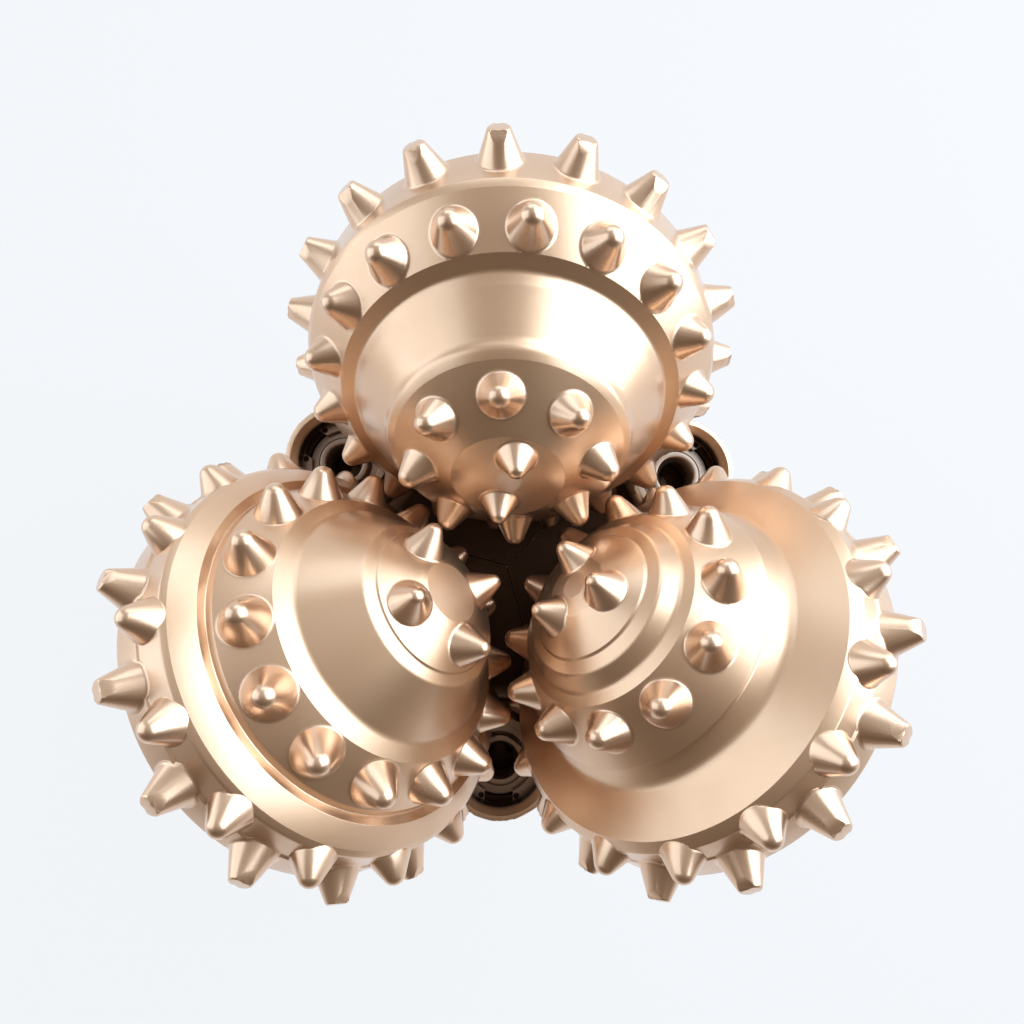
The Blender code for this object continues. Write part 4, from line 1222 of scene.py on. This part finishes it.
@dataclass
class Studio:
    """The floor, the lamps, the world and the camera, which looks down the bit axis at the cones."""

    layout: Layout
    focal: float = 691.1
    picture: float = 1024.0
    sensor: float = 36.0
    distance: float = 187.3
    centre: tuple[float, float] = (512.3, 551.0)
    tilt: tuple[float, float, float] = (-3.3, 1.3, -2.04)
    backdrop: Colour = (0.896, 0.914, 0.939, 1.0)
    shadow: float = 0.07
    floor_size: float = 8.0
    floor_drop: float = 0.6
    daylight: tuple[float, float, float] = (0.72, 0.87, 1.0)
    dim_room: Colour = (1.0, 0.74, 0.54, 1.0)
    bright_room: Colour = (0.97, 0.99, 1.0, 1.0)

    def camera(self) -> None:
        """Sets the camera where the photo's own stood."""
        out = Matrix.Identity(3)
        for angle, axis in zip(self.tilt, "XYZ"):
            out = out @ Matrix.Rotation(radians(angle), 3, axis)
        out.transpose()
        place = out @ Vector((0.0, 0.0, self.distance)) + Vector((0.0, 0.0, self.layout.apex))
        bpy.ops.object.camera_add()
        camera = bpy.context.active_object
        camera.matrix_world = Matrix.Translation(place * MM) @ out.to_4x4()
        camera.data.sensor_width = self.sensor
        camera.data.lens = self.sensor * self.focal / self.picture
        camera.data.shift_x = (self.picture / 2 - self.centre[0]) / self.picture
        camera.data.shift_y = (self.centre[1] - self.picture / 2) / self.picture
        camera.data.clip_start = 0.01
        bpy.context.scene.camera = camera

    def pale(self, name: str) -> bpy.types.Material:
        """A pale surface that the camera and reflections see as the photo's plain backdrop.

        Args:
            name: The material's name.

        Returns:
            The material, on which a little of what the lamps do shows.
        """
        paint = PaintShop(name)
        material = paint.finished({"Base Color": self.backdrop, "Roughness": 0.9})
        glow = paint.node("ShaderNodeEmission", None, {"Color": self.backdrop})
        camera, mirror, glass = (paint.node("ShaderNodeLightPath", output=kind)
                                 for kind in ("Is Camera Ray", "Is Glossy Ray", "Is Transmission Ray"))
        seen = (camera + mirror + glass) * (1.0 - self.shadow)
        lit = Wire(paint, paint.shader.outputs[0])
        output = next(node for node in paint.tree.nodes if node.type == "OUTPUT_MATERIAL")
        paint.feed(output.inputs["Surface"], paint.node("ShaderNodeMixShader", None, {0: seen, 1: lit, 2: glow}))
        return material

    def floor(self) -> None:
        """Lays the pale floor that the pin stands on."""
        floor = Bench.added("studio_floor", bpy.ops.mesh.primitive_plane_add, size=self.floor_size,
                            location=(0.0, 0.0, -self.floor_drop * MM))
        floor.data.materials.append(self.pale("studio_floor"))

    def lamp(self, name: str, towards: Vector, distance: float, size: tuple[float, float], power: float) -> None:
        """Hangs a soft oblong lamp that faces the cones."""
        target = Vector((0.0, 0.0, self.layout.apex)) * MM
        place = target + towards.normalized() * distance
        lamp = Bench.added(name, bpy.ops.object.light_add, type="AREA", location=place)
        lamp.data.shape = "RECTANGLE"
        lamp.data.size, lamp.data.size_y = size
        lamp.data.energy = power
        lamp.data.color = self.daylight
        lamp.rotation_euler = (target - place).to_track_quat("-Z", "Y").to_euler()

    def light(self) -> None:
        """Hangs the lamps and sets the room's level, dimmer overhead and towards the camera's bottom."""
        self.lamp("right_softbox", Vector((0.80, 0.36, 0.56)), 1.0, (1.35, 1.35), 24.0)
        self.lamp("left_softbox", Vector((-0.88, 0.10, 0.46)), 1.0, (0.9, 1.1), 4.6)
        self.lamp("top_softbox", Vector((0.00, 0.92, 0.46)), 1.1, (0.95, 0.5), 3.0)
        world = bpy.context.scene.world or bpy.data.worlds.new("studio")
        bpy.context.scene.world = world
        world.use_nodes = True
        world.node_tree.nodes.clear()
        sky = Patch(world.node_tree)
        way = sky.node("ShaderNodeTexCoord", output="Generated")
        north, up = (sky.node("ShaderNodeSeparateXYZ", None, {0: way}, axis) for axis in ("Y", "Z"))
        level = sky.node("ShaderNodeMix", {"data_type": "FLOAT"},
                         {0: sky.eased(up, (0.10, 0.42), (1.0, 0.0)), 2: sky.eased(north, (-0.8, 0.5), (0.13, 0.52)),
                          3: sky.eased(north, (-0.9, 0.1), (0.30, 0.92))})
        tint = sky.blend(sky.eased(level, (0.15, 0.60), (0.0, 1.0)), self.dim_room, self.bright_room)
        room = sky.node("ShaderNodeBackground", None, {"Color": tint, "Strength": level})
        sky.feed(sky.tree.nodes.new("ShaderNodeOutputWorld").inputs["Surface"], room)

    def build(self) -> None:
        """Sets up the whole studio."""
        bpy.context.scene.view_settings.view_transform = "Standard"
        self.camera()
        self.floor()
        self.light()
        LOG.info("studio")


GAGE_INSERT = (6.2, 7.8, 3.2)
HEEL = ((87.0, 60.5, 0.8), (84.6, 65.4, 1.2))


def top_cone(layout: Layout) -> RollingCone:
    """The cone at the top of the photo, with the tall nose land."""
    corners = marked(*HEEL, (69.9, 65.4, 0.5), (68.9, 64.9, 0.3), (67.8, 64.3, 0.5), (56.6, 53.0, 0.3),
                     (55.5, 48.4, 2.4), (52.5, 46.4, 6.0), (41.6, 37.6, 6.0), (39.2, 36.8, 3.5),
                     (37.2, 34.5, 0.35), (26.4, 16.8, 0.8), (24.8, 4.0, 10.0), (24.8, 0.0))
    rows = [InsertRow(20, 79.9, 65.4, -2.0, *GAGE_INSERT, 4.6, gage=True),
            InsertRow(18, 61.6, 57.9, 36.0, 6.2, 7.4, 3.2, 16.7),
            InsertRow(8, 32.4, 26.6, 55.0, 6.2, 8.2, 3.2, 6.2),
            InsertRow(2, 25.4, 9.8, 84.0, 5.6, 7.5, 2.4, 167.7)]
    return RollingCone(1, Side.TOP, corners, rows, layout)


def left_cone(layout: Layout) -> RollingCone:
    """The cone at the lower left of the photo, with the bright bevel ring."""
    corners = marked(*HEEL, (75.2, 65.0, 0.4), (74.6, 64.4, 0.4), (66.4, 63.6, 1.6), (64.9, 62.2, 0.4),
                     (61.4, 56.2, 0.3), (62.2, 53.4, 0.4), (60.2, 52.7, 0.4), (48.9, 42.4, 0.3),
                     (46.6, 37.4, 4.4), (32.6, 25.6, 2.6), (31.4, 22.4, 1.0), (30.8, 22.0, 0.35),
                     (25.2, 11.4, 0.3), (24.4, 9.4, 0.3), (24.4, 0.0))
    rows = [InsertRow(15, 79.9, 65.2, -2.0, *GAGE_INSERT, 9.7, gage=True),
            InsertRow(15, 71.2, 64.7, 4.0, 6.0, 6.9, 3.0, 20.9, foot=0.3, flare=-0.2),
            InsertRow(15, 53.2, 48.6, 42.0, 6.2, 7.6, 3.2, 2.1),
            InsertRow(4, 26.3, 15.9, 60.0, 5.6, 7.4, 2.4, 80.9)]
    return RollingCone(2, Side.LEFT, corners, rows, layout)


def right_cone(layout: Layout) -> RollingCone:
    """The cone at the lower right of the photo, with the wide smooth groove."""
    corners = marked(*HEEL, (74.4, 64.8, 0.4), (73.8, 64.3, 0.4), (67.4, 63.4, 1.0), (64.8, 60.8, 0.3),
                     (61.4, 47.0, 5.5), (56.2, 42.4, 1.2), (53.8, 44.5, 0.4), (38.0, 31.5, 0.3),
                     (37.0, 27.8, 3.0), (32.4, 24.4, 2.4), (31.2, 20.6, 0.8), (30.4, 20.0, 0.3),
                     (25.2, 9.6, 1.2), (24.2, 4.0, 1.0), (24.2, 0.0))
    rows = [InsertRow(16, 79.9, 65.2, -2.0, *GAGE_INSERT, 8.0, gage=True),
            InsertRow(16, 71.0, 64.0, 10.0, 6.0, 6.9, 3.0, 19.6, foot=0.3, flare=-0.2),
            InsertRow(12, 43.6, 36.8, 50.0, 6.2, 8.2, 3.2, 6.4),
            InsertRow(3, 25.6, 10.6, 78.0, 5.6, 7.6, 2.4, 16.0)]
    return RollingCone(3, Side.RIGHT, corners, rows, layout)


def main() -> None:
    """Builds the bit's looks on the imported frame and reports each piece."""
    logging.basicConfig(level=logging.INFO, format="%(name)s: %(message)s")
    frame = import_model()
    layout = Layout()
    finishes = Finishes()
    for cone in (top_cone(layout), left_cone(layout), right_cone(layout)):
        cone.build(finishes)
    nozzle = Nozzle(layout, SnapRing(low=186.3, thickness=1.7, outer=18.5, width=5.0))
    reservoir = Reservoir(SnapRing(low=5.0, thickness=1.6, outer=15.9, width=3.0))
    Leg(layout, Forging(layout), nozzle, reservoir, BallHole()).build(finishes)
    Pin().build(finishes)
    WeldSeams(layout).build(finishes)
    Internals(frame["nodes"]).build(finishes)
    Studio(layout).build()


if __name__ == "__main__":
    main()
